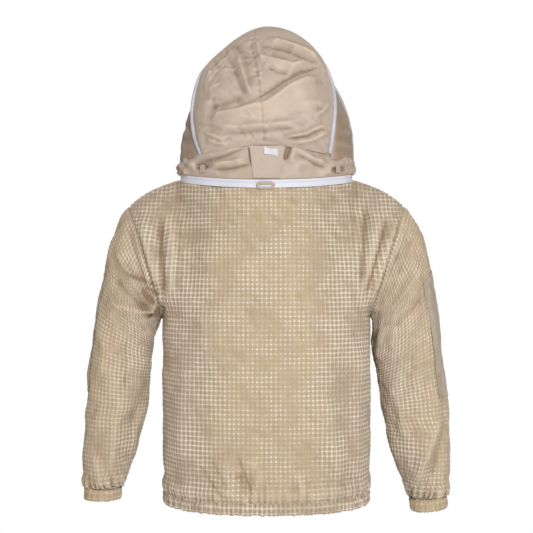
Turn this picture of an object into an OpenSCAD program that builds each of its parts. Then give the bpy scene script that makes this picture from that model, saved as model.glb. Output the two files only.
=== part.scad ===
// Ventilated beekeeping jacket with a zip-off fencing-style hood.
// Frame: the wearer faces -Y, +X is the wearer's left, +Z is up.
// The origin is the centre of the collar seam, at the height where it crosses the shoulders.

/* [Body] */
// Half width of the body below the armpits
body_half_w = 224; // [216:1:230]
// Half width of the body where the hem gathers it
hem_half_w = 218; // [210:1:224]
// Depth of the back, from the side seams to the shoulder blades
back_depth = 150; // [140:1:158]
// Depth of the front at the hem, from the side seams to the zip
front_depth = 150; // [146:1:156]
// Height of the hem's lower edge
hem_z = -686; // [-696:1:-676]
// Height of the hem casing
hem_h = 24; // [18:1:28]
// Thickness of the three-layer mesh
mesh_t = 4; // [3:0.5:5]

/* [Neck] */
// Half width of the neck zip over the shoulders
neck_a = 184; // [180:1:188]
// Half depth of the neck zip
neck_b = 118; // [114:1:122]
// Radius of the neck zip where it turns over each shoulder
neck_r = 71; // [66:1:76]
// Angle by which the front and back of the neck zip drop from the shoulders
neck_drop = 12; // [8:1:14]
// Width of each neck zip tape
tape_w = 8; // [7:1:9]

/* [Hood] */
// Height of the rear hoop's crown
rear_top = 332; // [310:1:336]
// Height of the front hoop's crown
front_top = 308; // [290:1:316]
// How far the veil stands out in front of its hoop
veil_bulge = 84; // [70:1:95]
// How far the hood has turned towards the wearer's right
hood_turn = 7; // [0:1:9]
// Radius of the piping round each hoop stay
piping_r = 4; // [3.5:0.5:4.5]

/* [Sleeves] */
// Inside radius of the elastic cuffs
cuff_r = 34.5; // [33:0.5:35.5]
// Height of the elastic cuffs
cuff_h = 24; // [20:1:26]
// Tilt of the right cuff, its inner side lower
cuff_tilt = 7; // [0:1:8]

/* [Hidden] */
$fn = 48;
MESH = [0.80, 0.71, 0.57];
COTTON = [0.80, 0.73, 0.64];
WHITE = [0.90, 0.90, 0.95];
BRASS = [0.72, 0.56, 0.28];
BLACK = [0.06, 0.06, 0.07];
STEEL = [0.75, 0.76, 0.78];
eps = 0.01;
cotton_t = 1.2;

// Body: levels and the armholes
armpit_z = -290;
hem_top = hem_z + hem_h + 0.5;
armpit_v = 0.58;
section_n = 2.3;
shoulder_tip = [300, 0, -52];
shoulder_rise = 14;
armhole_mid = [262, 0, -171];
armhole_half = [38, 84, 119];
armhole_reach = 62;
blade_out = 9;
seam_gap = 3;
side_angle = 0.15;
shoulder_angle = 36;

// Neck: the four-centre oval that the zip follows
end_x = neck_a - neck_r;
side_f = (end_x * end_x - (neck_b - neck_r) * (neck_b - neck_r)) / (2 * (neck_b - neck_r));
side_r = neck_b + side_f;
join_phi = atan(side_f / end_x);
bend_s = side_r * sin(join_phi) - side_f;
bend_rho = bend_s * 180 / (PI * neck_drop);
tape_t = 1.2;
coil_lo = 0.4;
coil_hi = 3.2;
coil_t = 2.6;
collar_seam = -tape_w - 3.6;
ring_z = 11;

// Front zip: a straight line down the middle of the front, from the collar seam to the hem
throat = neck_point(270, collar_seam, 0);
front_rise = -throat[1];
front_top_z = throat[2];
zip_top = [0, -front_rise - 0.8, front_top_z - 2];
zip_tilt = atan((front_depth - front_rise) / (front_top_z - hem_top));
zip_len = 650;
zip_half = 13;

// Hood: the skirt's top seam (half width, depth behind and in front, rise at the back) and the hoops
skirt_size = [187, 116, 134, 20];
rear_flare = 32;
rear_lean = 24;
front_lean = -104;
// How much narrower the crown's left side is
left_slope = 0.26;
back_fullness = 36;
skirt_lift = 6;
skirt_out = 4.4;
foot_z = 50;
rear_foot = 44;
front_foot = -8;

// Sleeve stations: outer edge, inner edge (x, z) and half depth, from the armhole down
LEFT_SLEEVE = [
    [296, -62, 229, -284, 78], [318, -80, 231, -293, 80], [340, -134, 234, -301, 78],
    [351, -205, 239, -322, 75], [366, -274, 244, -347, 72],
    [377, -357, 250, -397, 68], [387, -452, 257, -464, 65], [393, -530, 268, -528, 62],
    [398, -590, 284, -588, 56], [396, -635, 304, -632, 46], [393, -659, 317, -659, 38]];
RIGHT_SLEEVE = [
    [296, -62, 229, -284, 78], [320, -78, 229, -300, 82], [343, -130, 230, -318, 80],
    [356, -200, 230, -345, 77], [367, -272, 233, -378, 73],
    [378, -362, 241, -425, 70], [390, -460, 248, -478, 67], [397, -545, 262, -545, 62],
    [397, -607, 281, -607, 55], [394, -653, 301, -653, 45], [388, -677, 312, -685, 38]];
LEFT_CUFF = [355, 0, -671];
RIGHT_CUFF = [351.3, 0, -693];

// ---------- helpers ----------
function unit(v) = v / norm(v);
function lerp(a, b, t) = a + (b - a) * t;
function smooth(t) = let (c = min(1, max(0, t))) c * c * (3 - 2 * c);
function power(x, p) = sign(x) * pow(abs(x), p);
function span(a, b, n) = [for (i = [0:n]) lerp(a, b, i / n)];
function joined(rows) = [for (row = rows, p = row) p];
function after_first(list) = [for (i = [1:len(list) - 1]) list[i]];

// A grid of points f(u, v), one row for each v
function grid(f, us, vs) = [for (v = vs) [for (u = us) f(u, v)]];

function grid_normal(g, i, j, wrap) =
    let (rows = len(g), cols = len(g[0]),
         i0 = max(i - 1, 0), i1 = min(i + 1, rows - 1),
         j0 = wrap ? (j + cols - 1) % cols : max(j - 1, 0),
         j1 = wrap ? (j + 1) % cols : min(j + 1, cols - 1))
    unit(cross(g[i][j1] - g[i][j0], g[i1][j] - g[i0][j]));

function shifted(g, d, wrap) =
    [for (i = [0:len(g) - 1]) [for (j = [0:len(g[0]) - 1])
        g[i][j] + d * grid_normal(g, i, j, wrap)]];

// A sheet of cloth: the solid between two offsets of a grid
module sheet(g, lo, hi, wrap = false) {
    rows = len(g);
    cols = len(g[0]);
    k = rows * cols;
    last = (rows - 1) * cols;
    points = concat(joined(shifted(g, hi, wrap)), joined(shifted(g, lo, wrap)));
    cells = [for (i = [0:rows - 2], j = [0:(wrap ? cols : cols - 1) - 1])
        let (a = i * cols + j, b = i * cols + (j + 1) % cols)
        each [[a, b + cols, b], [a, a + cols, b + cols],
              [a + k, b + k, b + cols + k], [a + k, b + cols + k, a + cols + k]]];
    ends = [for (j = [0:(wrap ? cols : cols - 1) - 1])
        let (a = j, b = (j + 1) % cols, c = last + a, d = last + b)
        each [[a, b, b + k], [a, b + k, a + k], [d, c, c + k], [d, c + k, d + k]]];
    sides = wrap ? [] : [for (i = [0:rows - 2])
        let (a = i * cols, c = a + cols, b = a + cols - 1, d = b + cols)
        each [[c, a, a + k], [c, a + k, c + k], [b, d, d + k], [b, d + k, b + k]]];
    polyhedron(points, concat(cells, ends, sides), convexity = 10);
}

// A profile carried along frames [point, first axis, second axis]
module sweep(profile, frames, closed = false) {
    rows = len(frames);
    cols = len(profile);
    points = [for (f = frames, q = profile) f[0] + f[1] * q[0] + f[2] * q[1]];
    cells = [for (i = [0:rows - (closed ? 1 : 2)], j = [0:cols - 1])
        let (n = (i + 1) % rows, m = (j + 1) % cols)
        each [[i * cols + j, n * cols + m, i * cols + m],
              [i * cols + j, n * cols + j, n * cols + m]]];
    caps = closed ? [] : [[for (j = [0:cols - 1]) j],
                          [for (j = [cols - 1:-1:0]) (rows - 1) * cols + j]];
    polyhedron(points, concat(cells, caps), convexity = 10);
}

function box_profile(a0, a1, b0, b1) = [[a0, b0], [a1, b0], [a1, b1], [a0, b1]];
function ring_profile(r, n) = [for (i = [0:n - 1]) r * [cos(360 * i / n), sin(360 * i / n)]];
// An open-topped channel, seen along the path: a is up, b is outwards
function channel_profile(h, b0, b1, t) =
    [[0, b0], [h, b0], [h, b0 + t], [t, b0 + t], [t, b1 - t], [h, b1 - t], [h, b1], [0, b1]];

// ---------- neck ring ----------
// Directions of the outward normal, at even steps along the oval
neck_phis = concat(
    span(join_phi, 180 - join_phi, 20),
    after_first(span(180 - join_phi, 180 + join_phi, 6)),
    after_first(span(180 + join_phi, 360 - join_phi, 20)),
    [for (i = [1:5]) lerp(360 - join_phi, 360 + join_phi, i / 6)]);

function oval(phi) =
    abs(cos(phi)) > cos(join_phi)
        ? [sign(cos(phi)) * end_x, 0] + neck_r * [cos(phi), sin(phi)]
        : [0, -sign(sin(phi)) * side_f] + side_r * [cos(phi), sin(phi)];

// A point of the flat oval, bent down to the front and back of the shoulders
function bent(p) =
    let (s = abs(p[1]), beta = min(s, bend_s) / bend_rho * 180 / PI,
         y = bend_rho * sin(beta) + max(0, s - bend_s) * cos(neck_drop),
         z = ring_z - bend_rho * (1 - cos(beta)) - max(0, s - bend_s) * sin(neck_drop))
    [p[0], sign(p[1]) * y, z];
function slope_at(p) = sign(p[1]) * min(abs(p[1]), bend_s) / bend_rho * 180 / PI;
// The ring's frame: point, up along the zip's wall, outwards
function neck_frame(phi) =
    let (p = oval(phi), b = slope_at(p))
    [bent(p), [0, sin(b), cos(b)], [cos(phi), sin(phi) * cos(b), -sin(phi) * sin(b)]];
function neck_point(phi, up, out) = let (f = neck_frame(phi)) f[0] + up * f[1] + out * f[2];
neck_frames = [for (p = neck_phis) neck_frame(p)];

// ---------- body surface ----------
gather_h = 110;
function half_w(z) = lerp(hem_half_w, body_half_w, smooth((z - hem_top) / gather_h));
function depth_at(th, z) =
    th > 0 ? back_depth - 8 * smooth((z + 420) / 260)
           : lerp(front_rise, front_depth, (front_top_z - z) / (front_top_z - hem_top));
function section(th, z) =
    [half_w(z) * power(cos(th), 2 / section_n), depth_at(th, z) * power(sin(th), 2 / section_n), z];

// The top edge: shoulder seam, neck ring, shoulder seam
function top_edge(th) =
    let (a = abs(th), s = th > 0 ? 1 : -1, flip = a > 90 ? -1 : 1, b = a > 90 ? 180 - a : a,
         foot = neck_point(0, collar_seam, 0))
    b < shoulder_angle
        ? let (t = b / shoulder_angle, p = lerp(shoulder_tip, foot, t))
          [flip * p[0], s * seam_gap, p[2] + shoulder_rise * 4 * t * (1 - t)]
        : let (p = neck_point(180 * (a - shoulder_angle) / (180 - 2 * shoulder_angle), collar_seam, 0))
          [p[0], s * max(p[1], seam_gap), p[2]];

function armhole(k, s) =
    let (a = -90 + 180 * k)
    [armhole_mid[0] + armhole_half[0] * sin(a), s * armhole_half[1] * cos(a),
     armhole_mid[2] + armhole_half[2] * sin(a)];

// The jacket's outer surface: th runs round from the wearer's left, v from the hem to the top
function body_point(th, v) =
    v <= armpit_v
        ? section(th, lerp(hem_top, armpit_z, v / armpit_v))
        : let (k = (v - armpit_v) / (1 - armpit_v), s = th > 0 ? 1 : -1,
               a = abs(th), flip = a > 90 ? -1 : 1, side = min(a, 180 - a),
               base = lerp(section(th, armpit_z), top_edge(th), k),
               edge = armhole(k, s) - lerp([body_half_w, 0, armpit_z], shoulder_tip, k),
               fade = 1 - smooth(side / armhole_reach),
               blade = (s > 0 ? blade_out : 0) * sin(180 * k) * pow(sin(a), 2))
          base + fade * [flip * edge[0], edge[1], edge[2]] + [0, blade, 0];

body_f = function(th, v) body_point(th, v);
function front_left_f(x0) = function(th, v) let (p = body_point(th, v)) [max(p[0], x0), p[1], p[2]];
function front_right_f(x0) = function(th, v) let (p = body_point(th, v)) [min(p[0], -x0), p[1], p[2]];
body_vs = concat(span(0, armpit_v, 6), [for (v = span(armpit_v, 1, 7)) if (v > armpit_v + eps) v]);

module back_panel() {
    color(MESH) sheet(grid(body_f, span(side_angle, 180 - side_angle, 20), body_vs), -mesh_t, 0);
}
module front_panel_left() {
    g = grid(front_left_f(zip_half + 0.6), span(-90, -side_angle, 10), body_vs);
    color(MESH) sheet(g, -mesh_t, 0);
}
module front_panel_right() {
    g = grid(front_right_f(zip_half + 0.6), span(-180 + side_angle, -90, 10), body_vs);
    color(MESH) sheet(g, -mesh_t, 0);
}

// ---------- hem ----------
hem_out = 3;
hem_in = 5;
function hem_frame(th) =
    let (p = section(th, hem_top), q = section(th + 0.5, hem_top), t = unit([q[0] - p[0], q[1] - p[1], 0]))
    [[p[0], p[1], hem_z], [0, 0, 1], [t[1], -t[0], 0]];
hem_gap = 6.5;
hem_frames = [for (th = span(-90 + hem_gap, 270 - hem_gap, 44)) hem_frame(th > 180 ? th - 360 : th)];

module hem_casing() {
    color(MESH) sweep(channel_profile(hem_h, -hem_in, hem_out, cotton_t), hem_frames);
}
module hem_elastic() {
    inside = [for (i = [1:len(hem_frames) - 2]) hem_frames[i]];
    color(WHITE) sweep(box_profile(2.2, hem_h - 3, -2.2, -0.8), inside);
}

// ---------- neck zip ----------
module collar_tape() {
    color(WHITE) sweep(box_profile(-tape_w - 3, -coil_hi, -tape_t / 2, tape_t / 2), neck_frames, true);
}
module collar_coil() {
    color(WHITE) sweep(box_profile(0.1 - coil_hi, -coil_lo, -coil_t / 2, coil_t / 2), neck_frames, true);
}
module hood_tape() {
    color(WHITE) sweep(box_profile(coil_hi, coil_hi + tape_w, -tape_t / 2, tape_t / 2), neck_frames, true);
}
module hood_coil() {
    color(WHITE) sweep(box_profile(coil_lo, coil_hi - 0.1, -coil_t / 2, coil_t / 2), neck_frames, true);
}

// The front arc of the neck zip is a true circle in a tilted plane: this puts a child in that plane,
// with the circle's centre at the origin and the zip at radius side_r towards -Y
arc_mid = neck_point(270, 0, 0);
arc_up = [0, -sin(neck_drop), cos(neck_drop)];
arc_out = [0, -cos(neck_drop), -sin(neck_drop)];
arc_centre = arc_mid - side_r * arc_out;
module on_front_arc(angle) {
    translate(arc_centre) rotate([neck_drop, 0, 0]) rotate([0, 0, angle - 90]) children();
}

slider_deg = 3.2;
slider_h = 9.2;
slider_gap = 1;
plate_t = 1.2;
web_t = 0.44;
plate_in = coil_t / 2 + slider_gap;
bail = [3.2, 2.4, 6];
pin_r = 0.78;
pin_out = plate_in + plate_t + bail[0] / 2;
module neck_slider_shape() {
    rotate([0, 0, -slider_deg / 2]) rotate_extrude(angle = slider_deg, $fn = 360) {
        translate([side_r + plate_in, -slider_h / 2]) square([plate_t, slider_h]);
        translate([side_r - plate_in - plate_t, -slider_h / 2]) square([plate_t, slider_h]);
        translate([side_r - plate_in - eps, -web_t / 2]) square([2 * plate_in + 2 * eps, web_t]);
    }
    translate([side_r + plate_in + plate_t - eps, 0, 0]) difference() {
        translate([0, -bail[1] / 2, -bail[2] / 2]) cube(bail);
        translate([bail[0] / 2, -2, 0]) rotate([-90, 0, 0]) cylinder(r = pin_r + 0.07, h = 4);
    }
}
// A pull with its pin along X at the origin: the tab hangs below, w wide and h long
module pull_shape(w, h) {
    translate([-2.6, 0, 0]) rotate([0, 90, 0]) cylinder(r = pin_r, h = 5.2);
    for (s = [-1, 1]) translate([s * 2.1 - 0.6, -0.7, -5]) cube([1.2, 1.4, 5.2]);
    difference() {
        translate([-w / 2, -0.7, -h]) cube([w, 1.4, h - 4.5]);
        translate([0, -1, 4 - h]) rotate([-90, 0, 0]) cylinder(r = w / 4, h = 4);
    }
}
module neck_pull_shape() {
    translate([side_r + pin_out, 0, 0]) rotate([0, -neck_drop, 0]) rotate([0, 0, 90]) pull_shape(5.4, 24);
}
slider_rest = 3.2;
module neck_slider_left() { color(BRASS) on_front_arc(slider_rest) neck_slider_shape(); }
module neck_slider_right() { color(BRASS) on_front_arc(-slider_rest) neck_slider_shape(); }
module neck_pull_left() { color(BRASS) on_front_arc(slider_rest) neck_pull_shape(); }
module neck_pull_right() { color(BRASS) on_front_arc(-slider_rest) neck_pull_shape(); }

// ---------- front zip ----------
// Puts a child in the zip's own frame: z runs up the zip from its top, y points into the jacket
module on_front_zip() { translate(zip_top) rotate([-zip_tilt, 0, 0]) children(); }
module front_tape(s) {
    color(WHITE) on_front_zip() translate([s > 0 ? coil_hi : -zip_half, 0, -zip_len])
        cube([zip_half - coil_hi, tape_t, zip_len]);
}
module front_coil(s) {
    color(BRASS) on_front_zip() translate([s > 0 ? coil_lo : -coil_hi, tape_t / 2 - coil_t / 2, -zip_len])
        cube([coil_hi - coil_lo, coil_t, zip_len]);
}
module front_tape_left() { front_tape(1); }
module front_tape_right() { front_tape(-1); }
module front_coil_left() { front_coil(1); }
module front_coil_right() { front_coil(-1); }
module front_zip_stops() {
    color(BRASS) on_front_zip() {
        for (s = [-1, 1]) translate([s * 1.8 - 1.4, tape_t / 2 - 2, 0.2]) cube([2.8, 4, 1.4]);
        translate([-3.4, tape_t / 2 - 2.2, -zip_len - 8]) cube([6.8, 4.4, 7.8]);
    }
}
front_slider_z = -13;
module front_slider() {
    color(BRASS) on_front_zip() translate([0, tape_t / 2, front_slider_z]) {
        for (y = [plate_in, -plate_in - plate_t]) translate([-4.8, y, -6]) cube([9.6, plate_t, 12]);
        translate([-web_t / 2, -plate_in - eps, -6]) cube([web_t, 2 * plate_in + 2 * eps, 12]);
        translate([0, -plate_in - plate_t - bail[0] + eps, 0]) difference() {
            translate([-bail[1] / 2, 0, -bail[2] / 2]) cube([bail[1], bail[0], bail[2]]);
            translate([-2, bail[0] / 2, 0]) rotate([0, 90, 0]) cylinder(r = pin_r + 0.07, h = 4);
        }
    }
}
module front_pull() {
    color(BRASS) on_front_zip() translate([0, tape_t / 2 - pin_out, front_slider_z]) pull_shape(6.4, 34);
}

// ---------- pockets, on the front panels ----------
function patch(th0, th1, v0, v1, nu, nv) = grid(body_f, span(th0, th1, nu), span(v0, v1, nv));
CHEST = [-79, -57, 0.66, 0.80];
HIP = [-77, -50, 0.035, 0.245];
flap_v = 0.055;
// Offsets of each layer's two faces from the front panels
pocket_off = [0.9, 2.1];
pad_off = [2.3, 3.4];
flap_off = [3.8, 5];
function mirrored(b) = [-180 - b[1], -180 - b[0], b[2], b[3]];
module pocket(b) { color(COTTON) sheet(patch(b[0], b[1], b[2], b[3], 6, 4), pocket_off[0], pocket_off[1]); }
module flap(b) {
    area = patch(b[0] - 0.6, b[1] + 0.6, b[3] - flap_v, b[3] + 0.012, 6, 2);
    color(COTTON) sheet(area, flap_off[0], flap_off[1]);
}
module loop_pad(b) {
    mid = (b[0] + b[1]) / 2;
    low = b[3] - flap_v;
    color(WHITE) sheet(patch(mid - 4, mid + 4, low + 0.006, low + 0.028, 2, 1), pad_off[0], pad_off[1]);
}
module chest_pocket() { pocket(CHEST); }
module hip_pocket_left() { pocket(HIP); }
module hip_pocket_right() { pocket(mirrored(HIP)); }
module chest_flap() { flap(CHEST); }
module hip_flap_left() { flap(HIP); }
module hip_flap_right() { flap(mirrored(HIP)); }
module pocket_loop_pads() {
    loop_pad(CHEST);
    loop_pad(HIP);
    loop_pad(mirrored(HIP));
}

// ---------- hood ----------
function turned(p) =
    let (a = -hood_turn * smooth((p[2] - 8) / 120))
    [p[0] * cos(a) - p[1] * sin(a), p[0] * sin(a) + p[1] * cos(a), p[2]];
// The seam at the top of the skirt
function skirt_top(phi) =
    let (s = sin(phi), back = s > 0)
    [skirt_size[0] * cos(phi), skirt_size[back ? 1 : 2] * s, foot_z + (back ? skirt_size[3] * pow(s, 4) : 0)];
function rear_arch(a) =
    let (f = skirt_top(rear_foot), s = sin(a), flare = f[0] + rear_flare * (1 - pow(1 - s, 3)),
         slope = 0.42 + 0.5 * s + (cos(a) > 0 ? left_slope * smooth((s - 0.62) / 0.24) : 0))
    [flare * power(cos(a), slope), lerp(f[1], rear_lean, s), lerp(f[2], rear_top, s)];
function front_arch(a) =
    let (f = skirt_top(front_foot), s = sin(a))
    [f[0] * power(cos(a), 0.95), lerp(f[1], front_lean, s), lerp(f[2], front_top, s)];

// A panel between a seam below and an arch above that share their ends, clear of the arch's piping
function lens(arch, seam, u, v) =
    let (top = arch(180 * u), low = seam(u), d = top - low, len = norm(d),
         across = norm(cross(d / len, unit(arch(180 * u + 1) - arch(180 * u - 1)))),
         v0 = 1.5 / len, v1 = 1 - (piping_r + 0.8) / (len * max(across, 0.3)))
    lerp(low, top, lerp(v0, v1, v));
rear_f = function(a) rear_arch(a);
front_f = function(a) front_arch(a);
back_seam = function(u) skirt_top(lerp(rear_foot, 180 - rear_foot, u));
chin_seam = function(u) skirt_top(lerp(front_foot, -180 - front_foot, u));
function hump(u) = 4 * u * (1 - u);
end_u = 0.035;
back_f = function(u, v)
    turned(lens(rear_f, back_seam, u, v) + [0, back_fullness * pow(hump(u), 0.8) * pow(hump(v), 0.8), 0]);
veil_f = function(u, v)
    turned(lens(front_f, chin_seam, u, v) - [0, veil_bulge * pow(hump(u), 0.7) * pow(hump(v), 0.75), 0]);
// The gusset between the hoops, which meets the skirt's seam at each side
gusset_f = function(u, v)
    let (a = 180 * u, side = min(a, 180 - a), flip = a > 90 ? -1 : 1,
         foot = skirt_top(lerp(rear_foot, front_foot, v)) - lerp(rear_arch(0), front_arch(0), v),
         fade = 1 - smooth(side / 45))
    turned(lerp(rear_arch(a), front_arch(a), v) + fade * [flip * foot[0], foot[1], foot[2]]
        - 5 * hump(v) * (1 - fade) * unit([cos(a), 0, sin(a)]));

module hood_back() {
    color(COTTON) sheet(grid(back_f, span(end_u, 1 - end_u, 16), span(0, 1, 10)), -cotton_t, 0);
}
module veil_mesh() {
    color(BLACK) sheet(grid(veil_f, span(1 - end_u, end_u, 18), span(0, 1, 10)), -0.8, 0);
}
module hood_gusset() {
    color(COTTON) sheet(grid(gusset_f, span(0.006, 0.994, 24), span(0.06, 0.94, 3)), -cotton_t, 0);
}
skirt_f = function(phi, v)
    let (low = neck_point(phi, skirt_lift, skirt_out), q = skirt_top(skirt_phi(phi)),
         out = (5 * hump(v) + 2) * (1 - v))
    lerp(low, [q[0], q[1], q[2] - 3], v) + out * [cos(phi), sin(phi), 0];
// The oval's normal direction, as the angle that the seam above it uses
function skirt_phi(phi) = let (p = oval(phi)) atan2(p[1] / neck_b, p[0] / neck_a);
module hood_skirt() {
    g = [for (v = [0, 0.25, 0.55, 0.85, 1]) [for (p = neck_phis) turned(skirt_f(p, v))]];
    color(COTTON) sheet(g, -cotton_t, 0, true);
}

// Frames along a hoop: forward, with two axes across it
function hoop_point(arch, a) = turned(arch(a));
function hoop_frame(arch, a) =
    let (t = unit(hoop_point(arch, a + 0.5) - hoop_point(arch, a - 0.5)),
         e2 = unit(cross(t, [0, 1, 0])), e1 = cross(e2, t))
    [hoop_point(arch, a), e1, e2];
// Steps along a hoop, closer together at its feet
hoop_as = [for (i = [0:26]) 1 + 178 * (0.5 - 0.5 * cos(180 * i / 26))];
function hoop_frames(arch) = [for (a = hoop_as) hoop_frame(arch, a)];
module piping(arch) {
    n = 8;
    g = [for (f = hoop_frames(arch)) [for (q = ring_profile(piping_r, n)) f[0] + f[1] * q[0] + f[2] * q[1]]];
    color(WHITE) sheet(g, -1.9, 0, true);
}
module stay(arch) { color(STEEL) sweep(ring_profile(1.5, 8), hoop_frames(arch)); }
module rear_hoop_piping() { piping(rear_f); }
module rear_hoop_stay() { stay(rear_f); }
module front_hoop_piping() { piping(front_f); }
module front_hoop_stay() { stay(front_f); }

// ---------- small pieces at the back of the neck ----------
module on_neck_back(x, up, out) {
    f = neck_frame(90);
    translate([x, 0, 0] + f[0] + up * f[1] + out * f[2]) rotate([-neck_drop, 0, 0]) children();
}
module stadium(w, h, t) {
    rotate([-90, 0, 0]) linear_extrude(t) {
        square([w - h, h], center = true);
        for (s = [-1, 1]) translate([s * (w - h) / 2, 0]) circle(d = h);
    }
}
// A strap sewn down at both ends, standing a finger's tip off the tape between them
module hang_loop() {
    color(COTTON) on_neck_back(2, -5.5, 1) {
        translate([0, 1.2, 0]) difference() {
            stadium(38, 13, 2);
            translate([0, -1, 0]) stadium(27, 6.8, 5);
        }
        for (s = [-1, 1]) translate([s * 16.5 - 1.5, 0, -4]) cube([3, 1.3, 8]);
    }
}
// Centre of the guard flap's top edge, on the skirt's back
flap_top = [-1, 128, 66];
flap_lean = 1;
flap_drop = 66;
module back_guard_flap() {
    color(COTTON) translate(flap_top) rotate([flap_lean, 0, 0]) rotate([90, 0, 0])
        linear_extrude(cotton_t + 0.2, center = true)
            polygon([[-28, -flap_drop], [28, -flap_drop], [36, 0], [-36, 0]]);
}
module care_label() {
    color(WHITE) translate(flap_top) rotate([flap_lean, 0, 0]) translate([-22, 0.9, -20]) cube([28, 0.5, 18]);
}
side_tab_size = [12, 1.6, 15];
module side_tab(a) {
    color(COTTON) translate(turned(skirt_f(a, 0.34))) rotate([0, 0, a - 90])
        translate([-side_tab_size[0] / 2, 0.9, -side_tab_size[2] / 2]) cube(side_tab_size);
}
module side_tab_left() { side_tab(57); }
module side_tab_right() { side_tab(128); }

// ---------- sleeves ----------
function station(list, s) =
    let (i = min(floor(s), len(list) - 2), t = s - i) lerp(list[i], list[i + 1], t);
// th 0 is the outer edge, 90 the back
function sleeve_point(list, th, s) =
    let (q = station(list, s), o = [q[0], 0, q[1]], n = [q[2], 0, q[3]])
    (o + n) / 2 + (o - n) / 2 * cos(th) + [0, q[4] * sin(th), 0];
function sleeve_f(list) = function(th, s) sleeve_point(list, th, s);
sleeve_t = 3;
sleeve_end = 10;
patch_start = 2.9;
patch_end = 6;
sleeve_sides = 22;
sleeve_step = 360 / sleeve_sides;

module sleeve_shape(list) {
    // rows run up the sleeve, so that the sheet's outside is the sleeve's outside
    round = [for (i = [0:sleeve_sides - 1]) sleeve_step * i];
    sheet(grid(sleeve_f(list), round, span(sleeve_end, 0, sleeve_end)), -sleeve_t, 0, true);
}
// The patch runs from four of the sleeve's sides in front of its outer edge to back of them behind it
module elbow_shape(list, back) {
    area = grid(sleeve_f(list), sleeve_step * span(-4, back, back + 4), span(patch_end, patch_start, 3));
    sheet(area, pocket_off[0], pocket_off[1]);
}
cuff_wall = 5.5;
module cuff_casing_shape() {
    w = cuff_r + cuff_wall;
    rotate_extrude($fn = 96) difference() {
        translate([cuff_r, -cuff_h / 2]) square([w - cuff_r, cuff_h]);
        translate([cuff_r + 1.2, -cuff_h / 2 + 1.2]) square([w - cuff_r - 2.4, cuff_h]);
    }
}
module cuff_elastic_shape() {
    rotate_extrude($fn = 96) translate([cuff_r + 1.8, -cuff_h / 2 + 2.4]) square([1.6, cuff_h - 5]);
}
module at_left_cuff() { translate(LEFT_CUFF) children(); }
module at_right_cuff() { mirror([1, 0, 0]) translate(RIGHT_CUFF) rotate([0, -cuff_tilt, 0]) children(); }
module sleeve_left() { color(MESH) sleeve_shape(LEFT_SLEEVE); }
module sleeve_right() { color(MESH) mirror([1, 0, 0]) sleeve_shape(RIGHT_SLEEVE); }
module elbow_patch_left() { color(COTTON) elbow_shape(LEFT_SLEEVE, 1); }
module elbow_patch_right() { color(COTTON) mirror([1, 0, 0]) elbow_shape(RIGHT_SLEEVE, 3); }
module cuff_casing_left() { color(MESH) at_left_cuff() cuff_casing_shape(); }
module cuff_casing_right() { color(MESH) at_right_cuff() cuff_casing_shape(); }
module cuff_elastic_left() { color(WHITE) at_left_cuff() cuff_elastic_shape(); }
module cuff_elastic_right() { color(WHITE) at_right_cuff() cuff_elastic_shape(); }

back_panel();
front_panel_left();
front_panel_right();
collar_tape();
collar_coil();
hem_casing();
hem_elastic();
front_tape_left();
front_tape_right();
front_coil_left();
front_coil_right();
front_zip_stops();
chest_pocket();
hip_pocket_left();
hip_pocket_right();
pocket_loop_pads();
hang_loop();
hood_back();
hood_gusset();
veil_mesh();
hood_skirt();
rear_hoop_piping();
rear_hoop_stay();
front_hoop_piping();
front_hoop_stay();
hood_tape();
hood_coil();
side_tab_left();
side_tab_right();
back_guard_flap();
care_label();
neck_slider_left();
neck_pull_left();
neck_slider_right();
neck_pull_right();
front_slider();
front_pull();
chest_flap();
hip_flap_left();
hip_flap_right();
sleeve_left();
elbow_patch_left();
cuff_casing_left();
cuff_elastic_left();
sleeve_right();
elbow_patch_right();
cuff_casing_right();
cuff_elastic_right();
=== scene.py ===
"""The looks of a ventilated beekeeping jacket: its cloth, trim, materials, lights and camera.

Lengths are millimetres until a mesh is made, and the wearer faces -Y, as in the CAD frame.
"""

import math

import bpy
import numpy as np
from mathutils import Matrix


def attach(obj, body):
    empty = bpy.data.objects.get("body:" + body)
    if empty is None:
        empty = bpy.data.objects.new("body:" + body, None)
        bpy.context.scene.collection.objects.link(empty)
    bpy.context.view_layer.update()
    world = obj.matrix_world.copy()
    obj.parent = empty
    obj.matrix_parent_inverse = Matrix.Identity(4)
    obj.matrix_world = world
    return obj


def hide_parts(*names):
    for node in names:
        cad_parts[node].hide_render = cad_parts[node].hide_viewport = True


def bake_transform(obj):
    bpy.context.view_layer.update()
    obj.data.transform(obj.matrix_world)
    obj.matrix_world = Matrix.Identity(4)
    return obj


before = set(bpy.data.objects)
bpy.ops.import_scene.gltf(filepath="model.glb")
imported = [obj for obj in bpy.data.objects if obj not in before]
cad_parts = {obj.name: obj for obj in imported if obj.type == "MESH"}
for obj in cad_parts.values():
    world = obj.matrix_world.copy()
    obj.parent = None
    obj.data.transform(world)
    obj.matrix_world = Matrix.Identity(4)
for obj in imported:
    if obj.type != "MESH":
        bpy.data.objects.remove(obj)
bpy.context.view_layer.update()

MM = 0.001

# Neck zip
NECK_A, NECK_B, NECK_R = 184, 118, 71
NECK_DROP = math.radians(12)
RING_Z = 11
TAPE_W = 8
COIL_LO, COIL_HI = 0.4, 3.2
# Body
BODY_HALF_W, HEM_HALF_W = 224, 218
BACK_DEPTH, FRONT_DEPTH = 150, 150
HEM_Z, HEM_H = -686, 24
HEM_TOP = HEM_Z + HEM_H
ARMPIT_Z, ARMPIT_V = -290, 0.58
SECTION_POWER = 2 / 2.3
SHOULDER_TIP = np.array([300, 0, -52])
SHOULDER_ANGLE = 36
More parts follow.
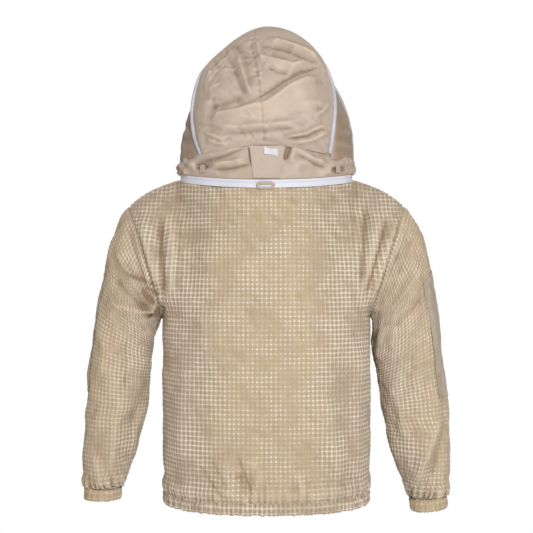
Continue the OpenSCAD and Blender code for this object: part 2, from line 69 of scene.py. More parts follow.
# Hood
FOOT_Z, REAR_TOP, FRONT_TOP = 50, 332, 308
REAR_FOOT, FRONT_FOOT = 44, -8
VEIL_BULGE = 84
HOOD_TURN = 7
PIPING_R = 4
SKIRT_HALF_W, SKIRT_BACK, SKIRT_FRONT = 187, 116, 134
REAR_LEAN, FRONT_LEAN = 24, -104  # how far back each hoop's crown is
NET_PITCH = 2.4
# Sleeves: outer edge, inner edge (x, z) and half depth, from the armhole down
LEFT_SLEEVE = [
    [300, -52, 224, -290, 84], [318, -80, 231, -293, 81],
    [340, -134, 234, -301, 78], [351, -205, 239, -322, 75], [366, -274, 244, -347, 72],
    [377, -357, 250, -397, 68], [387, -452, 257, -464, 65], [393, -530, 268, -528, 62],
    [398, -590, 284, -588, 56], [396, -635, 304, -632, 46], [393, -659, 317, -659, 38],
]
RIGHT_SLEEVE = [
    [300, -52, 224, -290, 84], [320, -78, 229, -300, 82],
    [343, -130, 230, -318, 80], [356, -200, 230, -345, 77], [367, -272, 233, -378, 73],
    [378, -362, 241, -425, 70], [390, -460, 248, -478, 67], [397, -545, 262, -545, 62],
    [397, -607, 281, -607, 55], [394, -653, 301, -653, 45], [388, -677, 312, -685, 38],
]
LEFT_CUFF, RIGHT_CUFF = (355, 0, -671), (-351.3, 0, -693)
CUFF_TILT = math.radians(7)
CUFF_R, CUFF_H = 34.5, 24
# Cloth
GRID = 9.5  # pitch of the knitted mesh
STEP = GRID / 3
MESH_T = 3.2
# Armhole: a half ellipse that curves inwards, from the shoulder's tip down to the armpit
ARMPIT = np.array([BODY_HALF_W, 0, ARMPIT_Z])
ARMHOLE_MID = (SHOULDER_TIP + ARMPIT) / 2
ARMHOLE_HALF = (SHOULDER_TIP - ARMPIT) / 2
ARMHOLE_DEPTH, ARMHOLE_DIP = 84, 10
ARMHOLE_FADE = 62  # degrees round the body over which the armhole's curve dies out
BACK_SEED = 11  # seed of the back panel's unevenness


# ---------- numbers ----------
def smooth(t):
    t = np.clip(t, 0, 1)
    return t * t * (3 - 2 * t)


def power(x, p):
    return np.sign(x) * np.abs(x) ** p


def hump(t):
    return 4 * t * (1 - t)


def stack(x, y, z):
    return np.stack(np.broadcast_arrays(x, y, z), axis=-1).astype(float)


def mix(a, b, t):
    """The point a share t of the way from a to b."""
    return a + (b - a) * np.asarray(t)[..., None]


def unit(v):
    return v / np.maximum(np.linalg.norm(v, axis=-1, keepdims=True), 1e-9)


def taken(p, t):
    """Rows of p at fractional places t, on a Catmull-Rom curve through them."""
    n = len(p)
    t = np.clip(t, 0, n - 1)
    i = np.minimum(t.astype(int), n - 2)
    f = (t - i).reshape((-1,) + (1,) * (p.ndim - 1))
    a, b, c, d = (p[np.clip(i + k, 0, n - 1)] for k in (-1, 0, 1, 2))
    return b + 0.5 * f * (c - a + f * (2 * a - 5 * b + 4 * c - d + f * (3 * (b - c) + d - a)))


def lengths(p):
    """Distance along a polyline at each of its points."""
    return np.concatenate([[0], np.cumsum(np.linalg.norm(np.diff(p, axis=0), axis=1))])


def normals(p):
    """Outward normals of a grid of points whose columns run anticlockwise and whose rows run up."""
    return unit(np.cross(np.gradient(p, axis=1), np.gradient(p, axis=0)))


def loop_normals(p):
    """Outward normals of a grid whose last column is its first."""
    ring = p[:, :-1]
    across = np.roll(ring, -1, 1) - np.roll(ring, 1, 1)
    n = unit(np.cross(across, np.gradient(ring, axis=0)))
    return np.concatenate([n, n[:, :1]], 1)


def ripples(x, z, scale, seed):
    """Smooth, repeatable unevenness of about unit size, scale millimetres across."""
    rng = np.random.default_rng(seed)
    out = np.zeros(np.broadcast(x, z).shape)
    for _ in range(9):
        a, k, phase = rng.uniform(0, np.pi), rng.uniform(0.6, 1.7) * 2 * np.pi / scale, rng.uniform(0, 6.28)
        out += np.sin(k * (x * np.cos(a) + z * np.sin(a)) + phase)
    return out / 3


def fold(x, z, path, width, height, lean=1.0):
    """A soft fold along a path of (x, z) points, lean times wider on the path's left, with x to the right."""
    path = np.array(path, float)
    run = lengths(path)
    best = np.full(np.broadcast(x, z).shape, 1e9)
    along = np.zeros_like(best)
    side = np.zeros_like(best)
    for i in range(len(path) - 1):
        (ax, az), (bx, bz) = path[i], path[i + 1]
        dx, dz = bx - ax, bz - az
        long = math.hypot(dx, dz)
        t = np.clip(((x - ax) * dx + (z - az) * dz) / long**2, 0, 1)
        away = np.hypot(x - ax - t * dx, z - az - t * dz)
        closer = away < best
        best = np.where(closer, away, best)
        along = np.where(closer, run[i] + t * long, along)
        side = np.where(closer, np.sign((x - ax) * dz - (z - az) * dx), side)
    share = along / run[-1]
    wide = width * np.where(side > 0, 1, lean)
    return height * np.exp(-((best / wide) ** 1.6)) * smooth(share / 0.25) * smooth((1 - share) / 0.25)


# ---------- the neck ring ----------
END_X = NECK_A - NECK_R
SIDE_F = (END_X**2 - (NECK_B - NECK_R) ** 2) / (2 * (NECK_B - NECK_R))
SIDE_R = NECK_B + SIDE_F
JOIN = math.atan2(SIDE_F, END_X)
BEND_S = SIDE_R * math.sin(JOIN) - SIDE_F
BEND_RHO = BEND_S / NECK_DROP
COLLAR_SEAM = -TAPE_W - 3.6


def neck_outline(degrees):
    """The neck seen from above, flat arcs joined by tight ends, and the direction out of it."""
    phi = np.radians(degrees)
    c, s = np.cos(phi), np.sin(phi)
    ends = np.abs(c) > math.cos(JOIN)
    x = np.where(ends, np.sign(c) * END_X + NECK_R * c, SIDE_R * c)
    y = np.where(ends, NECK_R * s, -np.sign(s) * SIDE_F + SIDE_R * s)
    return x, y, c, s


def neck_point(degrees, up=0.0, out=0.0):
    """A point of the neck's ring, which bends down at its front and back."""
    x, y, c, s = neck_outline(degrees)
    away = np.abs(y)
    beta = np.minimum(away, BEND_S) / BEND_RHO
    past = np.maximum(away - BEND_S, 0)
    py = np.sign(y) * (BEND_RHO * np.sin(beta) + past * math.cos(NECK_DROP))
    pz = RING_Z - BEND_RHO * (1 - np.cos(beta)) - past * math.sin(NECK_DROP)
    slope = np.sign(y) * beta
    up_y, up_z = np.sin(slope), np.cos(slope)
    return stack(x + out * c, py + up * up_y + out * s * up_z, pz + up * up_z - out * s * up_y)


# ---------- the body ----------
THROAT = neck_point(270, COLLAR_SEAM)
FRONT_RISE, FRONT_TOP_Z = -THROAT[1], THROAT[2]
ZIP_TOP = np.array([0, -FRONT_RISE - 0.8, FRONT_TOP_Z - 2])
ZIP_TILT = math.atan((FRONT_DEPTH - FRONT_RISE) / (FRONT_TOP_Z - HEM_TOP))
ZIP_LEN = 650


def section(th, z):
    """The body's level outline at height z; th is in degrees from the wearer's left, round the back."""
    c, s = np.cos(np.radians(th)), np.sin(np.radians(th))
    half = HEM_HALF_W + (BODY_HALF_W - HEM_HALF_W) * smooth((z - HEM_TOP) / 110)
    back = BACK_DEPTH - 8 * smooth((z + 420) / 260)
    front = FRONT_RISE + (FRONT_DEPTH - FRONT_RISE) * (FRONT_TOP_Z - z) / (FRONT_TOP_Z - HEM_TOP)
    depth = np.where(th > 0, back, front)
    return stack(half * power(c, SECTION_POWER), depth * power(s, SECTION_POWER), z)


def top_edge(th):
    """Where the body ends: along both shoulders, and round the neck between them."""
    a = np.abs(th)
    flip = np.where(a > 90, -1, 1)
    near = np.where(a > 90, 180 - a, a)
    t = near / SHOULDER_ANGLE
    foot = neck_point(0.0, COLLAR_SEAM)
    slope = SHOULDER_TIP + (foot - SHOULDER_TIP) * np.minimum(t, 1)[..., None]
    slope = stack(flip * slope[..., 0], 0, slope[..., 2] + 14 * hump(np.minimum(t, 1)))
    ring = neck_point(180 * (a - SHOULDER_ANGLE) / (180 - 2 * SHOULDER_ANGLE), COLLAR_SEAM)
    ring = stack(ring[..., 0], np.sign(th + 1e-9) * ring[..., 1], ring[..., 2])
    return np.where((t < 1)[..., None], slope, ring)


def armhole(k, s):
    """A point of the armhole, k of the way up it, at the back where s is 1 and the front where it is -1."""
    a = np.radians(-90 + 180 * k)
    c, up = np.cos(a), np.sin(a)
    x = ARMHOLE_MID[0] + ARMHOLE_HALF[0] * up - ARMHOLE_DIP * c
    return stack(x, s * ARMHOLE_DEPTH * c, ARMHOLE_MID[2] + ARMHOLE_HALF[2] * up)


def body_point(th, v):
    """The jacket's outer surface: th runs round from the wearer's left, v from the hem to the top."""
    th, v = np.broadcast_arrays(np.asarray(th, float), np.asarray(v, float))
    low = section(th, HEM_TOP + (ARMPIT_Z - HEM_TOP) * np.clip(v / ARMPIT_V, 0, 1))
    k = np.clip((v - ARMPIT_V) / (1 - ARMPIT_V), 0, 1)
    s = np.where(th > 0, 1, -1)
    a = np.abs(th)
    flip = np.where(a > 90, -1, 1)
    side = np.minimum(a, 180 - a)
    base = mix(section(th, np.full(th.shape, float(ARMPIT_Z))), top_edge(th), k)
    edge = armhole(k, s) - (ARMPIT + (SHOULDER_TIP - ARMPIT) * k[..., None])
    fade = (1 - smooth(side / ARMHOLE_FADE))[..., None]
    high = base + fade * edge * stack(flip, 1, 1)
    high[..., 1] += np.where(s > 0, 9, 0) * np.sin(np.pi * k) * np.sin(np.radians(a)) ** 2
    return np.where((v <= ARMPIT_V)[..., None], low, high)


# ---------- the hood ----------
def turned(p):
    """The hood's turn on the wearer's neck, which grows from nothing at the neck's zip."""
    a = np.radians(-HOOD_TURN * smooth((p[..., 2] - 8) / 120))
    x, y, z = np.moveaxis(p, -1, 0)
    return stack(x * np.cos(a) - y * np.sin(a), x * np.sin(a) + y * np.cos(a), z)


def skirt_top(degrees):
    """The seam between the hood and its skirt."""
    phi = np.radians(degrees)
    s = np.sin(phi)
    depth = np.where(s > 0, SKIRT_BACK, SKIRT_FRONT)
    return stack(SKIRT_HALF_W * np.cos(phi), depth * s, FOOT_Z + np.where(s > 0, 20 * s**4, 0))


def rear_arch(degrees):
    """The line of the rear hoop, whose crown falls away sooner on the wearer's left."""
    a = np.radians(degrees)
    foot, s = skirt_top(REAR_FOOT), np.sin(a)
    flare = foot[0] + 32 * (1 - (1 - s) ** 3)
    slope = 0.42 + 0.5 * s + np.where(np.cos(a) > 0, 0.26 * smooth((s - 0.62) / 0.24), 0)
    x = flare * power(np.cos(a), slope)
    return stack(x, foot[1] + (REAR_LEAN - foot[1]) * s, foot[2] + (REAR_TOP - foot[2]) * s)


def front_arch(degrees):
    """The line of the front hoop."""
    a = np.radians(degrees)
    foot, s = skirt_top(FRONT_FOOT), np.sin(a)
    x = foot[0] * power(np.cos(a), 0.95)
    return stack(x, foot[1] + (FRONT_LEAN - foot[1]) * s, foot[2] + (FRONT_TOP - foot[2]) * s)


# ---------- meshes ----------
def hollows(p, n, times):
    """How far each point of a grid lies under the cloth around it, in millimetres."""
    mean = p
    for _ in range(times):
        wide = np.pad(mean, ((1, 1), (1, 1), (0, 0)), "edge")
        mean = (wide[1:-1, 1:-1] + wide[:-2, 1:-1] + wide[2:, 1:-1] + wide[1:-1, :-2] + wide[1:-1, 2:]) / 5
    return np.sum((mean - p) * n, -1)


def marked(obj, hollow, first):
    """Stores the depth of the creases, by which the cloth's colour is given painted shade in its hollows and
    a painted highlight on its ridges.
    """
    value = np.tile(hollow.reshape(-1)[first], 2).astype(np.float32)
    if len(value) == len(obj.data.vertices):
        obj.data.attributes.new("crease", "FLOAT", "POINT").data.foreach_set("value", value)


def build(name, points, faces, body, material, uv, nodes=()):
    """Makes a piece from points in millimetres, riding on a CAD body and standing for CAD nodes."""
    mesh = bpy.data.meshes.new(name)
    mesh.from_pydata((np.asarray(points) * MM).tolist(), [], [list(map(int, f)) for f in faces])
    layer = mesh.uv_layers.new(name="cloth")
    corners = np.zeros(len(mesh.loops), int)
    mesh.loops.foreach_get("vertex_index", corners)
    layer.data.foreach_set("uv", (np.asarray(uv)[corners] * MM).astype(np.float32).ravel())
    mesh.polygons.foreach_set("use_smooth", [True] * len(mesh.polygons))
    mesh.validate()
    obj = bpy.data.objects.new(name, mesh)
    bpy.context.scene.collection.objects.link(obj)
    obj.data.materials.append(material)
    if body:
        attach(obj, body)
    if nodes:
        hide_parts(*nodes)
    return obj


def quads(ids):
    """The four corners of each cell in a grid of point numbers."""
    return np.stack([ids[:-1, :-1], ids[:-1, 1:], ids[1:, 1:], ids[1:, :-1]], -1).reshape(-1, 4)


def ring_ids(rows, sides, closed):
    """Point numbers of a grid whose last column meets its first, and its last row too if it is closed."""
    ids = np.arange(rows * sides).reshape(rows, sides)
    ids = np.concatenate([ids, ids[:, :1]], 1)
    return np.concatenate([ids, ids[:1]], 0) if closed else ids


def shell(index, outer, inner, looped=False):
    """Points and faces of a closed sheet from two layers of a grid.

    Equal indices in a row are one point, and a looped sheet's last column is its first.
    """
    used, first = np.unique(index, return_index=True)
    remap = np.zeros(index.max() + 1, int)
    remap[used] = np.arange(len(used))
    ids = remap[index]
    count = len(used)
    points = np.concatenate([outer.reshape(-1, 3)[first], inner.reshape(-1, 3)[first]])
    top = [tuple(dict.fromkeys(q)) for q in quads(ids).tolist()]
    top = [q for q in top if len(q) > 2]
    under = [tuple(i + count for i in reversed(q)) for q in top]
    rim = []
    for line in (ids[0], ids[-1][::-1], ids[:, -1], ids[:, 0][::-1])[:2 if looped else 4]:
        for a, b in zip(line[:-1].tolist(), line[1:].tolist()):
            if a != b:
                rim.append((b, a, a + count, b + count))
    return points, top + under + rim, first


def threads(curves, middle, step):
    """Distances along each curve from its middle point, and the places of the threads that cross them."""
    spans = [lengths(c) - lengths(c)[middle] for c in curves]
    left = int(math.ceil(max(-s[0] for s in spans) / step))
    right = int(math.ceil(max(s[-1] for s in spans) / step))
    return spans, np.arange(-left, right + 1) * step


def row_ends(wanted, span):
    """The first and last thread that a row of this span reaches."""
    return np.searchsorted(wanted, span[0], "right") - 1, np.searchsorted(wanted, span[-1])


def cloth_grid(p, middle, step=STEP):
    """Resamples a coarse grid along the cloth's own threads.

    Returns the fine points, their (u, v) in millimetres, and an index in which the points past
    a row's end are the same point.
    """
    along = lengths(p[:, middle])
    n_rows = max(2, int(round(along[-1] / step)) + 1)
    v = np.linspace(0, along[-1], n_rows)
    rows = taken(p, np.interp(v, along, np.arange(len(p))))
    spans, wanted = threads(rows, middle, step)
    fine, us = [], []
    index = np.zeros((n_rows, len(wanted)), int)
    for i, (row, s) in enumerate(zip(rows, spans)):
        u = np.clip(wanted, s[0], s[-1])
        fine.append(taken(row, np.interp(u, s, np.arange(len(row)))))
        us.append(u)
        index[i] = i * len(wanted) + np.clip(np.arange(len(wanted)), *row_ends(wanted, s))
    uv = np.stack([np.array(us), np.broadcast_to(v[:, None], index.shape)], -1)
    return np.array(fine), uv, index


def knit_relief(uv):
    """Height of the three-layer mesh: raised threads with knots where they cross."""
    near = 1 - np.minimum(1, 3 * np.abs(uv / GRID - np.round(uv / GRID)))
    u, v = near[..., 0], near[..., 1]
    return 0.9 * np.maximum(u, 0.45 * v) + 0.7 * u * v


def cotton_panel(name, coarse, body, material, nodes, thick, step, marks=None):
    """A panel of woven cloth, made from a coarse grid of its outer surface."""
    p, uv, index = cloth_grid(coarse, coarse.shape[1] // 2, step)
    n = normals(p)
    points, faces, first = shell(index, p, p - n * thick)
    uvs = np.concatenate([uv.reshape(-1, 2)[first]] * 2)
    obj = build(name, points, faces, body, material, uvs, nodes)
    # marks adds painted shade, and painted highlight where it is negative, to the depth that the colour
    # follows
    marked(obj, hollows(p, n, 12) + (marks(p[..., 0], p[..., 2]) if marks else 0), first)
    return obj


def tube(points, radius, sides, closed=False, squash=1.0):
    """Points, faces and (u, v) of a round bar along a line."""
    points = np.asarray(points, float)
    if closed:
        t = unit(np.roll(points, -1, 0) - np.roll(points, 1, 0))
    else:
        t = unit(np.gradient(points, axis=0))
    side = unit(np.cross(t, np.where(np.abs(t[:, 1:2]) > 0.9, [[1.0, 0, 0]], [[0, 1.0, 0]])))
    other = np.cross(side, t)
    a = np.arange(sides) * 2 * np.pi / sides
    radius = np.broadcast_to(radius, len(points))[:, None, None]
    ring = side[:, None] * np.cos(a)[None, :, None] * squash + other[:, None] * np.sin(a)[None, :, None]
    grid = points[:, None] + radius * ring
    ids = ring_ids(len(points), sides, closed)
    faces = quads(ids)[:, [0, 3, 2, 1]].tolist()
    if not closed:
        faces += [ids[0, :-1].tolist(), ids[-1, :-1][::-1].tolist()]
    v = np.repeat(lengths(points), sides)
    u = np.tile(a * np.mean(radius), len(points))
    return grid.reshape(-1, 3), faces, np.stack([u, v], -1)


def joined(parts):
    """One point list, face list and uv list from several."""
    points, faces, uvs, base = [], [], [], 0
    for p, f, uv in parts:
        points.append(p)
        uvs.append(uv)
        faces += [[i + base for i in face] for face in f]
        base += len(p)
    return np.concatenate(points), faces, np.concatenate(uvs)


def stitches(line, pitch=3.2, long=2.2, radius=0.32):
    """A row of short thread stitches along a line that already lies on the cloth."""
    run = lengths(line)
    parts = []
    for start in np.arange(0.4, run[-1] - long, pitch):
        at = np.array([start, start + long / 2, start + long])
        p = np.stack([np.interp(at, run, line[:, k]) for k in range(3)], 1)
        parts.append(tube(p, np.array([0.55, 1, 0.55]) * radius, 5))
    return joined(parts)


def sew(name, lines, body, slot, *kind):
    """One piece of thread, stitched along several lines."""
    points, faces, uv = joined([stitches(line, *kind) for line in lines])
    build(name, points, faces, body, plain("thread"), uv)


# ---------- materials ----------
def is_socket(value):
    return isinstance(value, bpy.types.NodeSocket)


class Graph:
    """A short way to write a node material."""

    def __init__(self, name, roughness, sheen=0.0):
        self.material = bpy.data.materials.new(name)
        self.material.use_nodes = True
        self.tree = self.material.node_tree
        self.bsdf = self.tree.nodes["Principled BSDF"]
        self.bsdf.inputs["Roughness"].default_value = roughness
        self.bsdf.inputs["Sheen Weight"].default_value = sheen

    def put(self, socket, value):
        if is_socket(value):
            self.tree.links.new(value, socket)
        else:
            socket.default_value = value

    def put_colour(self, socket, value):
        self.put(socket, value if is_socket(value) else (*value, 1))

    def node(self, kind, inputs=(), out=0, **settings):
        n = self.tree.nodes.new(kind)
        for key, value in settings.items():
            setattr(n, key, value)
        for key, value in dict(inputs).items():
            self.put(n.inputs[key], value)
        return n.outputs[out]

    def math(self, operation, a, b=0.0):
        return self.node("ShaderNodeMath", {0: a, 1: b}, operation=operation)

    def vector(self, operation, a, b):
        return self.node("ShaderNodeVectorMath", {0: a, 1: b}, operation=operation)

    def uv(self):
        return self.node("ShaderNodeUVMap", uv_map="cloth")

    def place(self):
        return self.node("ShaderNodeTexCoord", out=3)

    def split(self, vector):
        parts = self.tree.nodes.new("ShaderNodeSeparateXYZ")
        self.put(parts.inputs[0], vector)
        return parts.outputs[0], parts.outputs[1]

    def scaled(self, vector, size):
        return self.vector("MULTIPLY", vector, size if isinstance(size, tuple) else (size,) * 3)

    def noise(self, vector, scale, detail=2.0, rough=0.5):
        inputs = {"Vector": vector, "Scale": scale, "Detail": detail, "Roughness": rough}
        return self.node("ShaderNodeTexNoise", inputs)

    def fit(self, value, low, high, to_low=0.0, to_high=1.0, kind="SMOOTHSTEP"):
        inputs = {0: value, 1: low, 2: high, 3: to_low, 4: to_high}
        return self.node("ShaderNodeMapRange", inputs, interpolation_type=kind)

    def blend(self, share, a, b):
        n = self.tree.nodes.new("ShaderNodeMix")
        n.data_type = "RGBA"
        self.put(n.inputs[0], share)
        self.put_colour(n.inputs[6], a)
        self.put_colour(n.inputs[7], b)
        return n.outputs[2]

    def shaded(self, colour, dark, light):
        """Paints shade into a cloth's creases and a highlight on its ridges."""
        crease = self.node("ShaderNodeAttribute", out=2, attribute_name="crease")
        low = self.fit(crease, 0.1, 2.2, 0.0, 0.75, "LINEAR")
        high = self.fit(crease, -1.6, -0.1, 0.35, 0.0, "LINEAR")
        return self.blend(high, self.blend(low, colour, dark), light)

    def finish(self, colour, height=None, strength=0.5, depth=0.001):
        self.put_colour(self.bsdf.inputs["Base Color"], colour)
        if height is not None:
            bump = self.node("ShaderNodeBump", {"Strength": strength, "Distance": depth, "Height": height})
            self.put(self.bsdf.inputs["Normal"], bump)
        return self.material


made = {}


def once(make):
    """Makes each material one time."""

    def get(*key):
        if (make, key) not in made:
            made[make, key] = make(*key)
        return made[make, key]

    return get


@once
def knit_material():
    """Three-layer knitted mesh: pale threads and shining knots over darker cells."""
    g = Graph("vent_mesh", 0.85, 0.15)
    uv = g.uv()
    wobble = g.node("ShaderNodeTexNoise", {"Vector": uv, "Scale": 60.0, "Detail": 1.0}, out=1)
    shifted = g.vector("SUBTRACT", wobble, (0.5, 0.5, 0.5))
    cell_x, cell_y = g.split(g.vector("ADD", g.scaled(uv, 1000 / GRID), g.scaled(shifted, 0.22)))
    across = g.math("PINGPONG", cell_x, 0.5)
    up = g.math("PINGPONG", cell_y, 0.5)
    warp = g.fit(across, 0.1, 0.26, 1.0, 0.0)
    weft = g.fit(up, 0.1, 0.26, 1.0, 0.0)
    crossed = g.math("MAXIMUM", warp, weft)
    knots = g.math("MULTIPLY", warp, weft)
    patch = g.noise(uv, 9.0, 3.0)
    shine = g.noise(uv, 15.0, 4.0, 0.65)
    fuzz = g.noise(uv, 900.0, 3.0, 0.7)
    cell = g.blend(g.fit(patch, 0.35, 0.68), (0.495, 0.378, 0.245), (0.430, 0.335, 0.235))
    cell = g.blend(g.fit(g.noise(uv, 330.0, 1.0), 0.35, 0.75), cell, (0.560, 0.440, 0.300))
    thread = g.blend(g.fit(patch, 0.3, 0.7), (0.590, 0.480, 0.345), (0.560, 0.470, 0.365))
    # towards the sides the cells are painted darker and the threads paler: painted shade and highlight where
    # the body turns away from the light
    side = g.fit(g.math("ABSOLUTE", g.split(uv)[0]), 0.075, 0.15, 0.0, 0.7)
    cell = g.blend(side, cell, (0.370, 0.290, 0.220))
    thread = g.blend(side, thread, (0.690, 0.605, 0.490))
    colour = g.blend(g.math("MULTIPLY", crossed, g.fit(shine, 0.32, 0.62, 0.35, 1.0)), cell, thread)
    lit = g.math("MULTIPLY", g.fit(knots, 0.25, 0.8), g.fit(shine, 0.36, 0.62))
    colour = g.blend(lit, colour, (0.90, 0.85, 0.76))
    slit = g.fit(g.noise(g.scaled(uv, (1.0, 0.4, 1.0)), 150.0, 1.0), 0.74, 0.79, 0, 0.55)
    colour = g.blend(g.math("MULTIPLY", slit, g.fit(across, 0.3, 0.45)), colour, (0.12, 0.09, 0.07))
    colour = g.blend(g.fit(fuzz, 0.3, 0.7, 0, 0.18), colour, (0.20, 0.15, 0.10))
    # painted shade in the creases, in dark ochre, and a painted highlight on the ridges
    colour = g.shaded(colour, (0.22, 0.14, 0.07), (0.72, 0.63, 0.50))
    raised = g.math("ADD", g.math("MAXIMUM", warp, g.math("MULTIPLY", weft, 0.5)), knots)
    return g.finish(colour, g.math("ADD", raised, g.math("MULTIPLY", fuzz, 0.5)), 0.45, 0.0010)


# light colour, dark colour, pitch of the threads in millimetres, roughness
WOVEN = {
    "cotton": ((0.545, 0.458, 0.385), (0.460, 0.380, 0.312), 0.55, 0.5),
    "patch_cotton": ((0.470, 0.405, 0.330), (0.410, 0.350, 0.280), 0.55, 0.8),
    "white_tape": ((0.76, 0.79, 0.90), (0.68, 0.71, 0.82), 0.9, 0.6),
    # the piping is the white tape made greyer: painted shade on the round binding
    "piping": ((0.58, 0.60, 0.68), (0.46, 0.48, 0.56), 0.7, 0.5),
    "elastic": ((0.55, 0.55, 0.55), (0.42, 0.42, 0.42), 1.2, 0.8),
    "label": ((0.72, 0.73, 0.78), (0.62, 0.63, 0.70), 0.4, 0.45),
}
# how a woven cloth's painted crease shade and painted ridge highlight tint its dark and light colours
CREASE_SHADE_TINT, RIDGE_HIGHLIGHT_TINT = (0.52, 0.40, 0.27), (1.42, 1.36, 1.24)


def tinted(colour, tint):
    return tuple(f * c for f, c in zip(tint, colour))


@once
def woven(name):
    """Plain-woven cloth: fine over-and-under threads, slubs and a soft uneven tone."""
    light, dark, thread, roughness = WOVEN[name]
    g = Graph(name, roughness, 0.2)
    uv = g.uv()
    x, y = g.split(g.scaled(uv, 1000 / thread))
    weave = g.math("ADD", g.math("PINGPONG", x, 0.5), g.math("PINGPONG", y, 0.5))
    slub = g.noise(g.scaled(uv, (1.0, 12.0, 1.0)), 260.0, 2.0)
    tone = g.noise(uv, 14.0, 4.0, 0.6)
    colour = g.blend(g.fit(tone, 0.3, 0.7), dark, light)
    colour = g.blend(g.fit(slub, 0.45, 0.8, 0, 0.25), colour, tuple(0.7 * c for c in dark))
    # painted shade in the creases, painted highlight on the ridges
    colour = g.shaded(colour, tinted(dark, CREASE_SHADE_TINT), tinted(light, RIDGE_HIGHLIGHT_TINT))
    return g.finish(colour, g.math("ADD", weave, slub), 0.3, 0.0004)


EVEN, BRUSHED = (1, 1, 1), (1, 1, 20)
# roughness, sheen, metallic, the grain's stretch, scale and detail, dark, light, bump's strength and depth
PLAIN = {
    "hook_loop": (0.95, 0.4, 0.0, EVEN, 1400.0, 3.0, (0.35, 0.32, 0.27), (0.55, 0.52, 0.46), 0.9, 0.0015),
    "thread": (0.6, 0.2, 0.0, EVEN, 1800.0, 1.0, (0.34, 0.27, 0.19), (0.48, 0.39, 0.29), 0.4, 0.0003),
    "zip_coil": (0.35, 0.0, 0.0, EVEN, 120.0, 2.0, (0.62, 0.63, 0.70), (0.70, 0.71, 0.78), 0.1, 0.0003),
    "hoop_steel": (0.35, 0.0, 1.0, BRUSHED, 90.0, 2.0, (0.42, 0.43, 0.45), (0.60, 0.61, 0.63), 0.1, 0.0002),
}


@once
def plain(name):
    """A material whose tone and bump follow one fine grain."""
    roughness, sheen, metallic, stretch, scale, detail, dark, light, strength, depth = PLAIN[name]
    g = Graph(name, roughness, sheen)
    g.bsdf.inputs["Metallic"].default_value = metallic
    grain = g.noise(g.scaled(g.place(), stretch), scale, detail)
    return g.finish(g.blend(grain, dark, light), grain, strength, depth)


@once
def brass_material():
    g = Graph("zip_metal", 0.35)
    g.bsdf.inputs["Metallic"].default_value = 1.0
    wear = g.noise(g.place(), 320.0, 4.0, 0.65)
    g.put(g.bsdf.inputs["Roughness"], g.fit(wear, 0.3, 0.7, 0.25, 0.5))
    colour = g.blend(g.fit(wear, 0.4, 0.65), (0.50, 0.36, 0.15), (0.72, 0.56, 0.30))
    return g.finish(colour, wear, 0.15, 0.0003)


@once
def net_material():
    """Black veil net: round-cornered holes between fine knitted threads."""
    g = Graph("veil_net", 0.6)
    x, y = g.split(g.scaled(g.uv(), 1000 / NET_PITCH))
    a = g.math("PINGPONG", g.math("ADD", x, y), 0.5)
    b = g.math("PINGPONG", g.math("SUBTRACT", x, y), 0.5)
    g.put(g.bsdf.inputs["Alpha"], g.fit(g.math("MINIMUM", a, b), 0.13, 0.17, 1.0, 0.0))
    fuzz = g.noise(g.uv(), 1500.0, 1.0)
    return g.finish(g.blend(fuzz, (0.010, 0.010, 0.012), (0.030, 0.030, 0.034)), fuzz, 0.2, 0.0002)


# ---------- camera, lights and floor, in metres ----------
CAMERA_AT = (0, 2.2, -0.181)
LENS = 68.5
MIDDLE = (0, 0, -0.25)
FLOOR_Z, FLOOR_HALF = -1.25, 1.5
AMBIENT = 0.36  # what lights the cloth; the backdrop itself stays white
AMBIENT_TINT = (1.0, 0.90, 0.76, 1)
WHITE = (1, 1, 1, 1)


def placed(obj):
    bpy.context.scene.collection.objects.link(obj)
    return obj


camera_data = bpy.data.cameras.new("camera")
camera_data.sensor_width = 36
camera_data.lens = LENS
camera = placed(bpy.data.objects.new("camera", camera_data))
camera.location = CAMERA_AT
camera.rotation_euler = (math.pi / 2, 0, math.pi)
bpy.context.scene.camera = camera
bpy.context.scene.view_settings.view_transform = "Standard"

world = bpy.data.worlds.new("studio")
world.use_nodes = True
nodes, links = world.node_tree.nodes, world.node_tree.links
sky = nodes["Background"]
sky.inputs[0].default_value = WHITE
rays = nodes.new("ShaderNodeLightPath")
ambient = nodes.new("ShaderNodeMapRange")
ambient.inputs[3].default_value = AMBIENT
tint = nodes.new("ShaderNodeMix")
tint.data_type = "RGBA"
tint.inputs[6].default_value = AMBIENT_TINT
tint.inputs[7].default_value = WHITE
links.new(rays.outputs["Is Camera Ray"], tint.inputs[0])
links.new(tint.outputs[2], sky.inputs[0])
links.new(rays.outputs["Is Camera Ray"], ambient.inputs[0])
links.new(ambient.outputs[0], sky.inputs[1])
bpy.context.scene.world = world


def area_light(name, place, target, size, watts):
    data = bpy.data.lights.new(name, "AREA")
    data.shape = "DISK"
    data.size = size
    data.energy = watts
    light = placed(bpy.data.objects.new(name, data))
    light.location = place
    away = np.array(target) - np.array(place)
    down = math.acos(-away[2] / np.linalg.norm(away))
    light.rotation_euler = (down, 0, math.atan2(away[1], away[0]) - math.pi / 2)


area_light("key", (-0.6, 2.85, 0.5), MIDDLE, 0.5, 63)
area_light("fill", (2.6, 1.6, 0.2), MIDDLE, 1.4, 4)
area_light("front", (0.8, -2.6, 1.6), MIDDLE, 1.2, 26)

floor_graph = Graph("floor", 0.9)
floor_tone = floor_graph.noise(floor_graph.place(), 2.0, 3.0)
floor_mesh = bpy.data.meshes.new("floor")
floor_points = [(x * FLOOR_HALF, y * FLOOR_HALF, FLOOR_Z) for x, y in [(-1, -1), (1, -1), (1, 1), (-1, 1)]]
floor_mesh.from_pydata(floor_points, [], [(0, 1, 2, 3)])
floor_mesh.materials.append(floor_graph.finish(floor_graph.blend(floor_tone, (0.84,) * 3, (0.88,) * 3)))
placed(bpy.data.objects.new("floor", floor_mesh))


